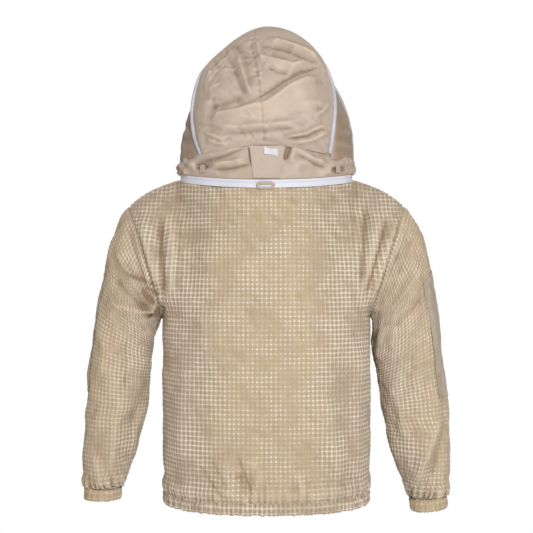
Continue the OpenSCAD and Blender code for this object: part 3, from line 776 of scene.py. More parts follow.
# ---------- folds in the mesh, as (x, z) paths seen from behind, in millimetres ----------
FOLD_GAIN = 1.6  # every fold of the back, the sleeves and the hood is this much higher than its table says


def folded(x, z, folds, gain=1.0):
    """The sum of several folds, each given as path, width, height and lean."""
    out = np.zeros(np.broadcast(x, z).shape)
    for path, width, height, lean in folds:
        out += fold(x, z, path, width, gain * height, lean)
    return out


def crease_shadows(x, z, paths):
    """Painted shadows of sharp creases, too fine for the mesh's own folds, each given as path, width and
    depth.
    """
    out = np.zeros(np.broadcast(x, z).shape)
    for path, width, depth in paths:
        out = np.maximum(out, fold(x, z, path, width, depth))
    return out


# dark lines painted along the back's and the sleeves' sharp creases, as their shadows
CREASES = [
    ([(217, -35), (215, -86), (218, -137), (214, -188), (212, -260)], 4, 1.0),
    ([(259, -220), (254, -241), (243, -254), (225, -260)], 5, 3.4),
    ([(309, -178), (288, -199), (256, -210), (230, -222), (218, -236)], 4.5, 2.6),
    ([(254, -220), (235, -235), (222, -241)], 5, 3.2),
    ([(279, -52), (251, -109), (225, -168), (218, -210)], 4, 0.8),
    ([(267, -77), (241, -136), (222, -188)], 4, 0.8),
    ([(315, -136), (294, -182), (262, -203)], 4, 0.8),
    ([(262, -252), (258, -273), (235, -283), (225, -273)], 10, 2.6),
    ([(-292, -56), (-269, -115), (-242, -178), (-229, -214), (-216, -256)], 3.5, 1.7),
    ([(-290, -130), (-269, -168), (-246, -199), (-231, -220)], 3.5, 1.4),
    ([(-174, -14), (-180, -59), (-189, -110), (-199, -188), (-209, -240)], 5, 0.6),
    ([(-216, -256), (-220, -293), (-225, -346)], 7, 1.5),
    # painted shadows of thin folds down to the hem
    ([(61, -550), (45, -600), (20, -655)], 3.5, 1.7),
    ([(141, -580), (106, -628), (78, -655)], 3.5, 1.5),
    ([(35, -592), (24, -622), (12, -650)], 3.5, 1.3),
    ([(118, -560), (96, -600), (70, -640)], 3.5, 1.2),
    ([(-52, -600), (-64, -630), (-84, -656)], 3.5, 0.6),
    ([(-120, -560), (-140, -610), (-168, -650)], 3.5, 0.7),
]


BACK_FOLDS = [
    # the left armhole: a deep vertical valley with a full ridge inside it
    ([(222, -60), (218, -120), (216, -200), (222, -262)], 9, -9, 1.2),
    ([(200, -80), (196, -150), (198, -215), (208, -268)], 12, 5, 1.0),
    ([(262, -60), (250, -130), (246, -200), (252, -262)], 14, 6, 1.0),
    # wrinkles running down from the left shoulder towards the armpit
    ([(296, -84), (276, -150), (256, -216), (240, -262)], 7, -4, 1.4),
    ([(322, -128), (298, -180), (272, -228), (250, -262)], 7, 4.5, 1.4),
    ([(334, -196), (304, -228), (276, -252), (252, -272)], 7, -4, 1.2),
    ([(340, -250), (312, -264), (282, -272), (254, -280)], 8, 4, 1.2),
    ([(240, -286), (256, -262), (266, -234)], 6, 5, 1.2),
    # the pinch at the left armpit
    ([(222, -236), (236, -262), (252, -276), (272, -276)], 6, 6, 1.0),
    ([(218, -262), (232, -282), (252, -290)], 6, -6, 1.0),
    # the right armhole: a double fold from the armpit to the shoulder
    ([(-222, -262), (-240, -200), (-262, -130), (-284, -70)], 9, 8, 1.4),
    ([(-196, -240), (-198, -160), (-204, -80), (-212, -30)], 10, -6, 1.2),
    ([(-206, -262), (-222, -200), (-240, -130), (-256, -66)], 8, -8, 1.4),
    ([(-236, -276), (-262, -230), (-292, -170), (-316, -110)], 9, -5, 1.3),
    ([(-240, -290), (-276, -252), (-308, -206), (-336, -166)], 9, 5, 1.3),
    ([(-246, -318), (-280, -300), (-316, -266), (-344, -230)], 8, -4, 1.2),
    # long soft folds across the back
    ([(130, -60), (118, -180), (132, -300), (126, -420)], 26, 3, 1.0),
    ([(-112, -420), (-130, -500), (-146, -600), (-140, -660)], 16, 5, 1.6),
    ([(-40, -90), (-54, -200), (-44, -330)], 24, 2.5, 1.0),
    ([(34, -560), (14, -600), (26, -664)], 14, 5, 1.5),
    ([(92, -560), (78, -610), (70, -668)], 14, 5, 1.5),
    ([(60, -590), (46, -630), (48, -670)], 12, -4, 1.5),
    ([(182, -330), (168, -430), (176, -540), (160, -660)], 20, 4, 1.0),
    ([(-188, -300), (-196, -420), (-186, -540), (-196, -660)], 18, 4, 1.0),
    ([(-60, -590), (-72, -630), (-66, -670)], 12, 5, 1.2),
    # the sleeves
    ([(300, -430), (318, -500), (326, -580), (340, -650)], 14, 5, 1.2),
    ([(274, -470), (286, -540), (300, -620)], 10, -4, 1.2),
    ([(372, -560), (358, -610), (352, -670)], 10, 4, 1.2),
    ([(356, -300), (342, -360), (346, -430)], 16, 3, 1.0),
    ([(290, -320), (300, -390), (292, -450)], 14, -4, 1.0),
    ([(-370, -490), (-352, -540), (-330, -610), (-318, -660)], 10, 8, 1.6),
    ([(-388, -500), (-372, -560), (-352, -640)], 10, -5, 1.3),
    ([(-262, -420), (-282, -480), (-296, -560)], 12, 4, 1.0),
    ([(-300, -330), (-310, -400), (-300, -460)], 14, -4, 1.0),
]


def gathers(u, seed, period):
    """A ruffled edge: uneven pleats along u, between -1 and 1."""
    rng = np.random.default_rng(seed)
    drift = np.zeros_like(u)
    for _ in range(4):
        high = rng.uniform(0.2, 0.5) * period
        long = period * rng.uniform(3, 7)
        drift += high * np.sin(2 * np.pi * u / long + rng.uniform(0, 6))
    wave = np.sin(2 * np.pi * (u + drift) / period)
    return 0.7 * np.sign(wave) * np.abs(wave) ** 0.8 + 0.3 * ripples(u, 0 * u, period * 2.3, seed + 1)


# ---------- the body's panels ----------
def height_on_body(th, z):
    """The v at which the body's surface reaches height z, for each th, at most 1."""
    th, z = np.broadcast_arrays(np.asarray(th, float), np.asarray(z, float))
    low = np.full(th.shape, ARMPIT_V)
    high = np.ones(th.shape)
    for _ in range(22):
        middle = (low + high) / 2
        under = body_point(th, middle)[..., 2] < z
        low, high = np.where(under, middle, low), np.where(under, high, middle)
    straight = ARMPIT_V * (z - HEM_TOP) / (ARMPIT_Z - HEM_TOP)
    return np.where(z <= ARMPIT_Z, straight, (low + high) / 2)


PLUMB_Z = -58  # the cloth hangs plumb above this height, where the neck and shoulders cut it off
TOP_STEP = 1.6  # pitch of the rows at the very top, where they follow the neck


def body_rows(th, centre):
    """Level rows across a panel: points, (u, v), the index that ends them, and the way to their ends."""
    guide_th = th[centre] + (40 if th[centre] > 0 else 30)
    guide = body_point(np.full(400, guide_th), np.linspace(0, 1, 400))
    run = lengths(guide)
    top = float(top_edge(np.array([SHOULDER_ANGLE - 1.0]))[0, 2])
    levels = np.interp(np.arange(0, run[-1], STEP), run, guide[:, 2])
    levels = np.concatenate([levels, np.arange(levels[-1] + TOP_STEP, top + TOP_STEP, TOP_STEP)])
    curves = body_point(th[None], height_on_body(th[None], levels[:, None]))
    spans, wanted = threads(curves, centre, STEP)
    count = len(wanted)
    points, reach, index = [], [], np.zeros((len(levels), count), int)
    plumb = None
    for i, (curve, s, z) in enumerate(zip(curves, spans, levels)):
        if z < PLUMB_Z:
            u = np.clip(wanted, s[0], s[-1])
            row = np.stack([np.interp(u, s, curve[:, k]) for k in range(3)], 1)
            plumb = row[:, 0]
            ends = row_ends(wanted, s)
        else:
            order = np.argsort(curve[:, 0])
            row = np.stack([np.interp(plumb, curve[order, 0], curve[order, k]) for k in range(3)], 1)
        points.append(row)
        reach.append(np.minimum(wanted - wanted[max(ends[0], 0)], wanted[min(ends[1], count - 1)] - wanted))
        index[i] = i * count + np.clip(np.arange(count), *ends)
        if z >= PLUMB_Z:
            same = np.linalg.norm(points[i] - points[i - 1], axis=1) < 0.02
            index[i] = np.where(same, index[i - 1], index[i])
    uv = stack(wanted[None], (np.arange(len(levels)) * STEP)[:, None], 0)[..., :2]
    return np.array(points), uv, index, np.array(reach)


def sheet_normals(p, index):
    """Normals of a grid in which the points past a row's end share that end's normal."""
    n = normals(p)
    past = np.arange(index.size).reshape(index.shape) != index
    n[past] = n.reshape(-1, 3)[index[past]]
    return n


def knit_sheet(name, p, uv, index, body, node, weight, lines):
    """A closed sheet of mesh cloth; weight keeps the painted crease shade off its seams, and lines adds more
    painted shade to it.
    """
    n = sheet_normals(p, index)
    outer = p + n * (knit_relief(uv) - 1.1)[..., None]
    points, faces, first = shell(index, outer, p - n * MESH_T)
    uvs = np.concatenate([uv.reshape(-1, 2)[first]] * 2)
    obj = build(name, points, faces, body, knit_material(), uvs, [node])
    marked(obj, hollows(p, n, 7) * weight + lines, first)
    return obj


def blouse(z):
    """How far the cloth puffs out over the hem's casing."""
    return 7 * np.exp(-(((z - HEM_TOP - 16) / 16) ** 2))


NECK_SIDE = 177  # how far out the body's panels turn the corner from shoulder to neck


def body_panel(name, node, th, centre, folds, seed):
    """One panel of the jacket's body, with its folds, its gathers over the hem and its puffed foot."""
    p, uv, index, reach = body_rows(th, centre)
    x, z = p[..., 0], p[..., 2]
    above_hem = np.exp(-(((z - HEM_TOP) / 34) ** 2)) * smooth((z - HEM_TOP + 14) / 20)
    amount = folds(x, z) + 1.2 * ripples(x, z, 90, seed) + 0.5 * ripples(x, z, 34, seed + 3)
    amount *= smooth((z - HEM_TOP) / 30) * smooth(reach / 16)
    amount *= np.maximum(smooth(np.abs(p[..., 1]) / 16), smooth((-60 - z) / 20))
    amount += blouse(z) + 2.4 * above_hem * gathers(uv[..., 0], seed + 5, 21.0)
    amount -= 0.8 * (1 - smooth(reach / 6)) * smooth((z - ARMPIT_Z + 20) / 30)  # the armhole's seam
    amount *= np.maximum(smooth((np.abs(x) - 17) / 22), smooth(p[..., 1] / 10))  # flat beside the front zip
    # the corner beside the neck is eased, all but its last row
    corner = np.exp(-(((np.abs(x) - NECK_SIDE) / 13) ** 2)) * smooth((z + 96) / 30)
    corner[-1] = 0
    for _ in range(10):
        near = (p[:, :-2] + p[:, 2:]) / 2
        p[:, 1:-1, 1] += (corner[:, 1:-1] * 0.9) * (near[..., 1] - p[:, 1:-1, 1])
    p = p + sheet_normals(p, index) * amount[..., None]
    # the cloth rises beside the neck and laps the tape there
    side = np.exp(-(((np.abs(p[..., 0]) - NECK_A) / 26) ** 2)) * smooth((p[..., 2] + 46) / 40)
    p[..., 2] += 7 * side
    # only the back has painted shadows of sharp creases, and painted shade makes it a little darker towards
    # its top
    lines = crease_shadows(x, z, CREASES) + 0.36 * smooth((z + 180) / 100) if seed == BACK_SEED else 0 * x
    return knit_sheet(name, p, uv, index, "jacket", node, smooth(reach / 10), lines)


def back_folds(x, z):
    return folded(x, z, BACK_FOLDS, FOLD_GAIN)


def front_folds(x, z):
    out = 2.2 * ripples(x, z, 150, 71)
    side = np.abs(x)
    out += fold(side, z, [(216, -80), (208, -160), (214, -262)], 12, -6, 1.2)
    out += fold(side, z, [(176, -300), (168, -450), (180, -600)], 22, 4, 1.0)
    return out * smooth((side - 18) / 40)


back_th = np.linspace(0.05, 179.95, 361)
left_th = np.linspace(-89.95, -0.05, 181)
right_th = np.linspace(-179.95, -90.05, 181)
back = body_panel("back", "back_panel", back_th, 180, back_folds, BACK_SEED)
front_left = body_panel("front_left", "front_panel_left", left_th, 0, front_folds, 21)
front_right = body_panel("front_right", "front_panel_right", right_th, 180, front_folds, 31)


# ---------- sleeves ----------
ARMHOLE_UP = unit(ARMHOLE_HALF)
ARMHOLE_OUT = np.array([ARMHOLE_UP[2], 0, -ARMHOLE_UP[0]])
SLEEVE_TOP = 120  # the column of a sleeve's grid that runs along its outer edge
SEAM_ALLOWANCE = (3.0, 6.0, 9.0)
PATCH_STATIONS = (2.85, 6)
PATCH_FROM = -66


def sleeve_surface(stations, side, seed):
    """Rows up the sleeve, columns from its inner edge round the front, over and down the back."""
    s = np.linspace(len(stations) - 1, 0, 190)
    q = taken(np.array(stations, float), s)[:, None]
    th = np.linspace(-180, 180, 2 * SLEEVE_TOP + 1)
    c, sn = np.cos(np.radians(th)), np.sin(np.radians(th))
    outer, inner, depth = q[..., 0:2], q[..., 2:4], q[..., 4]
    x = (outer[..., 0] + inner[..., 0]) / 2 + (outer[..., 0] - inner[..., 0]) / 2 * c
    z = (outer[..., 1] + inner[..., 1]) / 2 + (outer[..., 1] - inner[..., 1]) / 2 * c
    x = x - ARMHOLE_DIP * np.abs(sn) * (1 - smooth(s / 1.6))[:, None]
    p = stack(x, depth * sn, z)
    n = normals(p)
    along = lengths(p[:, SLEEVE_TOP])[:, None]
    u = th[None] / 57.3 * depth
    back = smooth((sn + 0.15) / 0.5)[None]
    amount = back * back_folds(side * x, z)
    amount = amount + (1 - back) * 2 * ripples(u, z, 120, seed)
    amount += 1.6 * ripples(u * 1.4, along * 0.7, 80, seed + 1) + 0.6 * ripples(u, along, 30, seed + 2)
    amount += 5.5 * np.exp(-((along / 26) ** 2)) * gathers(u, seed + 3, 14.0)
    amount += 3.6 * np.exp(-(((along - 13) / 14) ** 2))
    left = along[-1] - along
    amount = amount * smooth((along + 3) / 12) * smooth(left / 16) - 0.8 * (1 - smooth(left / 6))
    p = p + n * amount[..., None]
    # a seam allowance under the body's edge
    under = np.array([p[-1] - 0.9 * n[-1] - ARMHOLE_OUT * d for d in SEAM_ALLOWANCE])
    return np.concatenate([p, under]), th, np.concatenate([s, np.zeros(len(under))])


def sided(p, side):
    """A grid for the wearer's left, or its mirror image for the right."""
    return p if side > 0 else (p * [-1, 1, 1])[:, ::-1]


def across_shoulder(obj):
    """Bakes the sleeve's placement into its mesh."""
    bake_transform(obj)


def sleeve(word, stations, side, seed, patch_to):
    """A sleeve and its elbow patch, which reaches round to patch_to degrees."""
    arm = "sleeve_" + word
    surface, th, s = sleeve_surface(stations, side, seed)
    p, uv, index = cloth_grid(sided(surface, side), SLEEVE_TOP)
    top = uv[-1, 0, 1] - uv[..., 1]
    # painted crease shadows, on the back of the sleeve only
    lines = crease_shadows(p[..., 0], p[..., 2], CREASES) * smooth(p[..., 1] / 20)
    obj = knit_sheet(arm, p, uv, index, None, arm, smooth((top - 9) / 12), lines)
    across_shoulder(obj)
    # the elbow patch lies on the same surface
    rows = np.where((s >= PATCH_STATIONS[0]) & (s <= PATCH_STATIONS[1]))[0]
    cols = np.where((th >= PATCH_FROM) & (th <= patch_to))[0]
    block = np.ix_(rows, cols)
    lifted = sided(surface[block] + normals(surface)[block] * 1.6, side)
    patch = cotton_panel("elbow_patch_" + word, lifted, arm, woven("patch_cotton"),
                         ["elbow_patch_" + word], 1.0, 5.0)
    inset = [lifted[3:-3, 3], lifted[3:-3, -4], lifted[3, 3:-3], lifted[-4, 3:-3]]
    sew("elbow_stitches_" + word, inset, arm, "patch_cotton")
    return obj, patch


sleeve_left, patch_left = sleeve("left", LEFT_SLEEVE, 1, 41, 21)
sleeve_right, patch_right = sleeve("right", RIGHT_SLEEVE, -1, 51, 50)


# ---------- gathered bands with elastic inside ----------
# a tall soft oblong: shares of the band's depth outwards, and of its height
BAND_PROFILE = np.array([
    [0.0, 0.10], [0.34, 0.02], [0.80, 0.04], [1.0, 0.20], [0.94, 0.5], [1.0, 0.86], [0.80, 1.08],
    [0.34, 1.12], [0.0, 1.0], [-0.14, 0.5],
])


def band(name, body, node, path, out_dir, up_dir, run, height, depth, seed, closed, period=13.0):
    """A ruffled casing of mesh: a tube whose cross-section is BAND_PROFILE, pleated on a slant."""
    share_out, share_up = BAND_PROFILE[None, :, 0], BAND_PROFILE[None, :, 1]
    slant = 0.45 * period * np.sin(2.6 * share_up + 0.6)
    wave = gathers(run[:, None] + slant, seed, period)
    other = gathers(run[:, None] - slant, seed + 9, period * 0.8)
    out = share_out * depth * (1 + 0.30 * wave * (share_out > 0.5))
    up = share_up * height + 1.5 * other * (share_up - 0.5) * 2
    grid = path[:, None] + out_dir[:, None] * out[..., None] + up_dir * up[..., None]
    rows, sides = grid.shape[:2]
    ids = ring_ids(rows, sides, closed)
    faces = quads(ids).tolist()
    if not closed:
        faces += [ids[0, :-1][::-1].tolist(), ids[-1, :-1].tolist()]
    v = np.repeat(np.linspace(0, 1, sides)[None] * (2 * height + depth), rows, 0)
    uv = np.stack([np.repeat(run[:, None], sides, 1).ravel(), v.ravel()], -1)
    return build(name, grid.reshape(-1, 3), faces, body, knit_material(), uv, [node])


HEM_GAP = 3.4  # degrees from the front zip to either end of the hem
hem_th = np.linspace(-90 + HEM_GAP, 270 - HEM_GAP, 900)
hem_line = section(np.where(hem_th > 180, hem_th - 360, hem_th), np.full(900, float(HEM_TOP)))
hem_out = np.cross(unit(np.gradient(hem_line, axis=0)), [0, 0, 1.0])
hem_line[:, 2] = HEM_Z
hem = band("hem", "jacket", "hem_casing", hem_line - hem_out * 4.5, hem_out, np.array([0, 0, 1.0]),
           lengths(hem_line), HEM_H, 8.5, 61, False)


def cuff(word, centre, tilt, seed):
    a = np.linspace(0, 2 * np.pi, 260, endpoint=False)
    x_axis = np.array([math.cos(tilt), 0, math.sin(tilt)])
    up = np.array([-math.sin(tilt), 0, math.cos(tilt)])
    out = np.cos(a)[:, None] * x_axis + np.sin(a)[:, None] * np.array([0, 1.0, 0])
    line = np.array(centre) + out * (CUFF_R + 0.6) - up * CUFF_H / 2
    return band("cuff_" + word, "sleeve_" + word, "cuff_casing_" + word, line, out, up,
                a * CUFF_R, CUFF_H, 5.2, seed, True, 9.0)


cuff_left = cuff("left", LEFT_CUFF, 0.0, 65)
cuff_right = cuff("right", RIGHT_CUFF, -CUFF_TILT, 67)


# ---------- hood ----------
SEAM_GAP = 3.0  # a hood panel stops this far short of its hoop's line, and starts as far under its seam


def lens(arch, seam, u, v):
    """A surface between the skirt's seam and a hoop: u along both, v from the seam up."""
    top, low = arch(180 * u), seam(u)
    d = top - low
    long = np.linalg.norm(d, axis=-1)
    t = unit(arch(180 * u + 1) - arch(180 * u - 1))
    across = np.linalg.norm(np.cross(unit(d), t), axis=-1)
    high = 1 - SEAM_GAP / (long * np.maximum(across, 0.3))
    under = -SEAM_GAP / long
    return mix(low, top, under + (high - under) * v)


def back_hood(u, v):
    """The hood's back panel, which bellies out and laps the piping at the crown."""
    p = lens(rear_arch, lambda k: skirt_top(REAR_FOOT + (180 - 2 * REAR_FOOT) * k), u, v)
    p[..., 1] += 36 * hump(u) ** 0.8 * hump(v) ** 0.8
    over = smooth((np.sin(np.pi * u) - 0.52) / 0.2) * smooth((v - 0.86) / 0.1)
    a = np.pi * u
    return turned(p + (4.6 * over)[..., None] * stack(np.cos(a), 0, np.sin(a)))


def veil(u, v):
    p = lens(front_arch, lambda k: skirt_top(FRONT_FOOT - (180 + 2 * FRONT_FOOT) * k), u, v)
    p[..., 1] -= VEIL_BULGE * hump(u) ** 0.7 * hump(v) ** 0.75
    return turned(p)


def gusset(u, v):
    """The panel between the two hoops: u from foot to foot, v from the rear hoop to the front one."""
    a = 180 * u
    side = np.minimum(a, 180 - a)
    flip = np.where(a > 90, -1, 1)
    foot = skirt_top(REAR_FOOT + (FRONT_FOOT - REAR_FOOT) * v) - mix(rear_arch(0.0), front_arch(0.0), v)
    fade = (1 - smooth(side / 45))[..., None]
    radial = unit(stack(np.cos(np.radians(a)), 0, np.sin(np.radians(a))))
    p = mix(rear_arch(a), front_arch(a), v) + fade * foot * stack(flip, 1, 1)
    return turned(p - (5 * hump(v))[..., None] * (1 - fade) * radial)


def skirt(phi, v):
    """The gathered skirt between the neck's zip and the hood, phi in degrees round the neck."""
    x, y, c, s = neck_outline(phi)
    top = skirt_top(np.degrees(np.arctan2(y / NECK_B, x / NECK_A)))
    out = 8 * hump(v) ** 0.6 * (1 - v) ** 0.8
    return turned(mix(neck_point(phi, 6.5, 2.9), top, v) + out[..., None] * stack(c, s, 0))


HOOD_FOLDS = [
    # the long valley from the lower left up to the right, and the full lobe under it
    ([(-126, 238), (-102, 236), (-70, 224), (-38, 206), (-6, 182), (36, 161), (74, 150), (118, 138)],
     4.5, -7, 2.4),
    ([(24, 142), (-16, 164), (-48, 189), (-80, 205), (-118, 212)], 6, 9, 3.2),
    # ridges from the crown down to the right
    ([(12, 300), (-28, 294), (-80, 276), (-124, 250)], 4.5, 6, 2.0),
    ([(14, 286), (-32, 279), (-76, 262), (-114, 243)], 4, -5, 1.6),
    ([(20, 262), (-18, 248), (-54, 240), (-96, 250)], 5, 5, 2.0),
    ([(2, 236), (-24, 226), (-50, 222)], 4, -4, 1.6),
    # the lower left lobe and the shadow over it
    ([(120, 112), (98, 136), (58, 142), (20, 152), (-6, 160)], 5, 7, 3.0),
    ([(132, 150), (104, 156), (72, 166), (44, 172)], 9, -6, 1.2),
    # the level roll over the lower seam
    ([(120, 114), (72, 107), (8, 109), (-38, 114), (-84, 120)], 6, 4, 2.0),
    ([(112, 92), (60, 92), (14, 95), (-30, 99), (-66, 104)], 5, -3, 1.2),
    # beside the centre seam
    ([(62, 280), (52, 236), (40, 194), (26, 164)], 5, 3.5, 1.5),
    ([(78, 262), (68, 228), (54, 190), (36, 163)], 7, -3.5, 1.2),
    ([(20, 300), (16, 270), (6, 240)], 6, 4, 1.2),
    # small creases at the left edge
    ([(140, 228), (94, 234), (52, 238)], 2.2, 2.2, 1.5),
    ([(134, 206), (116, 236), (82, 266), (70, 286)], 3, 2.4, 1.5),
    ([(126, 200), (108, 226), (84, 246)], 2.5, -1.8, 1.2),
    ([(128, 184), (112, 198), (92, 206)], 2.5, 1.6, 1.2),
    ([(86, 300), (64, 288), (52, 262)], 8, -3, 1.2),
    # crinkles at the lower right corner
    ([(-34, 84), (-78, 92), (-124, 114)], 3.5, 4, 1.8),
    ([(-50, 72), (-92, 80), (-128, 98)], 3.5, 3.6, 1.8),
    ([(-40, 78), (-84, 86), (-124, 106)], 2.5, -3, 1.2),
    ([(-96, 128), (-118, 142), (-132, 164)], 4, 3, 1.6),
    ([(-60, 150), (-96, 158), (-128, 150)], 9, 2.5, 1.6),
    # crinkles at the lower left corner
    ([(134, 100), (112, 92), (84, 78)], 3, 3, 1.6),
    ([(128, 84), (104, 76), (76, 70)], 3, 2.6, 1.6),
]


def crumple(x, z, box, count, angle, seed):
    """Short creases scattered over a box, most of them near one direction."""
    rng = np.random.default_rng(seed)
    out = np.zeros(np.broadcast(x, z).shape)
    for _ in range(count):
        at = np.array([rng.uniform(box[0], box[1]), rng.uniform(box[2], box[3])])
        turn = math.radians(angle + rng.normal(0, 22))
        along = np.array([math.cos(turn), math.sin(turn)]) * rng.uniform(9, 26)
        bend = np.array([-along[1], along[0]]) * rng.uniform(-0.25, 0.25)
        path = [at - along, at - along * 0.4 + bend, at + along * 0.4 + bend, at + along]
        out = out + fold(x, z, path, rng.uniform(2.4, 4.2), rng.choice([-1, 1]) * rng.uniform(0.8, 2.0), 1.8)
    return out


# painted shadows along the hood's creases
HOOD_CREASES = [
    ([(35, 160), (-7, 181), (-38, 204), (-70, 223), (-122, 236)], 4.5, 1.3),
    ([(130, 150), (90, 152), (50, 162), (34, 165)], 14, 0.7),
    ([(20, 293), (-28, 256), (-85, 243), (-122, 246)], 5, 0.8),
    ([(-33, 287), (-90, 267), (-117, 240)], 5, 0.9),
    ([(46, 287), (40, 240), (35, 188), (25, 167)], 8, 0.8),
    ([(124, 115), (87, 99), (35, 94)], 5, 0.9),
    ([(116, 136), (87, 149)], 5, 0.9),
    ([(-122, 146), (-90, 120), (-17, 94)], 6, 0.6),
    ([(-22, 94), (-54, 83), (-85, 94)], 4, 1.0),
    ([(128, 240), (96, 280), (50, 314)], 24, 0.55),
    ([(-40, 316), (-90, 280), (-118, 230)], 16, 0.4),
]
# painted shadows in the skirt's creases and dark openings, on its back half
SKIRT_CREASES = [
    ([(153, 28), (137, 31), (122, 23)], 7, 3.4),
    ([(-132, 18), (-153, 25), (-171, 23)], 6.5, 3.4),
    ([(-52, 74), (-42, 52), (-35, 36)], 6.5, 3.2),
    ([(35, 68), (87, 47), (145, 36)], 4, 1.1),
    ([(30, 31), (72, 21), (119, 18)], 4, 1.1),
    ([(-59, 52), (-101, 31), (-132, 21)], 4, 1.1),
    ([(-80, 68), (-122, 52), (-174, 47)], 4, 0.9),
    ([(182, 60), (186, 30), (180, 14)], 9, 1.0),
    ([(-178, 60), (-186, 30), (-180, 14)], 9, 0.9),
]
# path, width, height and lean of the folds round the back of the skirt
SKIRT_FOLDS = [
    ([(145, 36), (87, 47), (35, 68)], 4, -7, 1.6),
    ([(150, 50), (96, 58), (60, 66)], 5, 7, 2.0),
    ([(120, 28), (76, 34), (40, 44)], 5, 7, 2.0),
    ([(119, 18), (72, 21), (30, 31)], 4, -7, 1.6),
    ([(153, 28), (137, 31), (122, 23)], 4.5, -9, 1.4),
    ([(-59, 52), (-101, 31), (-132, 21)], 4, -7, 1.6),
    ([(-56, 66), (-96, 44), (-128, 36)], 5, 7, 2.0),
    ([(-80, 68), (-122, 52), (-174, 47)], 4, -6, 1.6),
    ([(-132, 18), (-153, 25), (-171, 23)], 4.5, -9, 1.4),
    ([(-52, 74), (-42, 52), (-35, 36)], 4.5, -9, 1.4),
    ([(-62, 74), (-54, 50), (-48, 34)], 5, 7, 1.6),
]
# the hood's centre seam, which leans to one side: x at each height z
SEAM_X, SEAM_Z = [6, 12, 17, 25, 34, 25], [94, 162, 209, 251, 287, 316]


def hood_folds(x, z):
    out = 0.7 * ripples(x, z, 60, 91) + 0.28 * ripples(x * 0.7 + z * 0.7, (z - x) * 0.3, 17, 92)
    out = out + crumple(x, z, (60, 140, 140, 290), 26, 62, 191)
    out = out + crumple(x, z, (-130, 60, 200, 310), 30, -28, 194)
    out = out + crumple(x, z, (-130, 130, 70, 140), 26, 12, 197)
    out = out + folded(x, z, HOOD_FOLDS, FOLD_GAIN)
    # the centre seam and its puckers, stronger towards the crown
    away = x - np.interp(z, SEAM_Z, SEAM_X)
    pucker = np.sin(z / 2.3 + 1.6 * np.sin(z / 7)) * np.exp(-((away / 9) ** 2))
    return out + (0.35 + 0.75 * smooth((z - 150) / 50)) * pucker - 1.6 * np.exp(-((away / 2.2) ** 2))


def hood_shade_and_highlight(x, z):
    """Where the hood's colour darkens as painted crease shade, and where the cloth bellies out and is painted
    paler as a highlight.
    """
    under_valley = fold(x, z, [(120, 108), (70, 124), (10, 138), (-50, 160), (-124, 184)], 24, 1.0)
    under_crown = 0.6 * fold(x, z, [(-10, 226), (-50, 244), (-100, 262)], 14, 1.0)
    return crease_shadows(x, z, HOOD_CREASES) - 1.5 * np.maximum(under_valley, under_crown)


def gusset_side_shade(x, _):
    """Painted shade: the gusset's colour darkens towards its sides."""
    return 2.1 * smooth((np.abs(x) - 130) / 22)


def hood_back_grid():
    u, v = np.linspace(0.02, 0.98, 181), np.linspace(0, 1, 121)
    p = back_hood(*np.meshgrid(u, v))
    edge = smooth(hump(u)[None] / 0.25) * smooth(v[:, None] / 0.06) * smooth((1 - v[:, None]) / 0.08)
    return p + normals(p) * (hood_folds(p[..., 0], p[..., 2]) * edge)[..., None]


def gusset_grid():
    v = np.linspace(0.04, 0.96, 41)
    p = gusset(*np.meshgrid(np.linspace(-0.012, 1.012, 181), v))
    amount = 1.6 * ripples(p[..., 2] * 1.2, p[..., 1], 50, 93) * hump(v)[:, None]
    return p + normals(p) * amount[..., None]


def skirt_grid():
    """Uneven gathers between the hood's seam and the tape, with long slanting folds at the back."""
    phi, v = np.meshgrid(np.linspace(0, 360, 541), np.linspace(0, 1, 41))
    p = skirt(phi, v)
    soft = 2.6 * ripples(phi * 2.2, v * 60, 46, 95) + 1.6 * ripples(phi * 2.2, v * 24, 20, 97)
    long = folded(p[..., 0], p[..., 2], SKIRT_FOLDS) * (p[..., 1] > 0)
    pleats = soft * hump(v) ** 0.6 + long * hump(v) ** 0.5
    p[:, -1] = p[:, 0]
    pleats[:, -1] = pleats[:, 0]
    return p + loop_normals(p) * pleats[..., None]


def looped_sheet(name, p, body, material, node, thick, marks=()):
    """A closed band of cloth: the grid's last column is its first."""
    n = loop_normals(p)
    index = ring_ids(p.shape[0], p.shape[1] - 1, False)
    points, faces, first = shell(index, p, p - n * thick, True)
    run, up = lengths(p[len(p) // 2]), lengths(p[:, 0])
    uv = stack(run[None], up[:, None], 0)[..., :2].reshape(-1, 2)[first]
    obj = build(name, points, faces, body, material, np.concatenate([uv, uv]), [node])
    # painted crease shadows, on the back half only
    depth = crease_shadows(p[..., 0], p[..., 2], marks) * (p[..., 1] > 0)
    hollow = hollows(p[:, :-1], n[:, :-1], 8) + depth[:, :-1]
    marked(obj, hollow, np.arange(hollow.size))
    return obj


def piped(name, arch, node, lapped):
    """The binding round a hoop, whose ends go on into the skirt's seam, where it is wider."""
    a = 1 + 178 * (0.5 - 0.5 * np.cos(np.linspace(0, np.pi, 260)))
    line = arch(a)
    if lapped:  # the back panel rolls over the piping at the crown
        c, s = np.cos(np.radians(a)), np.sin(np.radians(a))
        hidden = smooth((s - 0.60) / 0.2)
        line = line - stack(c * 3.0 * hidden, 3.5 * hidden, s * 3.0 * hidden)
    first = line[0] + 6 * unit(line[0] - line[1])
    last = line[-1] + 6 * unit(line[-1] - line[-2])
    line = turned(np.concatenate([[first], line, [last]]))
    low = 1 - smooth(np.sin(np.radians(np.concatenate([[1.0], a, [179.0]]))) / 0.8)
    run = lengths(line)
    radius = PIPING_R - 0.7 + 1.4 * low + 0.08 * np.sin(run / 2.1) + 0.12 * ripples(run, 0 * run, 12, 99)
    points, faces, uv = tube(line, radius, 12)
    return build(name, points, faces, "hood", woven("piping"), uv, [node])


def stretched(name, coarse, material, node, thick, step, marks=None):
    """A panel of the hood."""
    return cotton_panel(name, coarse, "hood", material, [node], thick, step, marks)


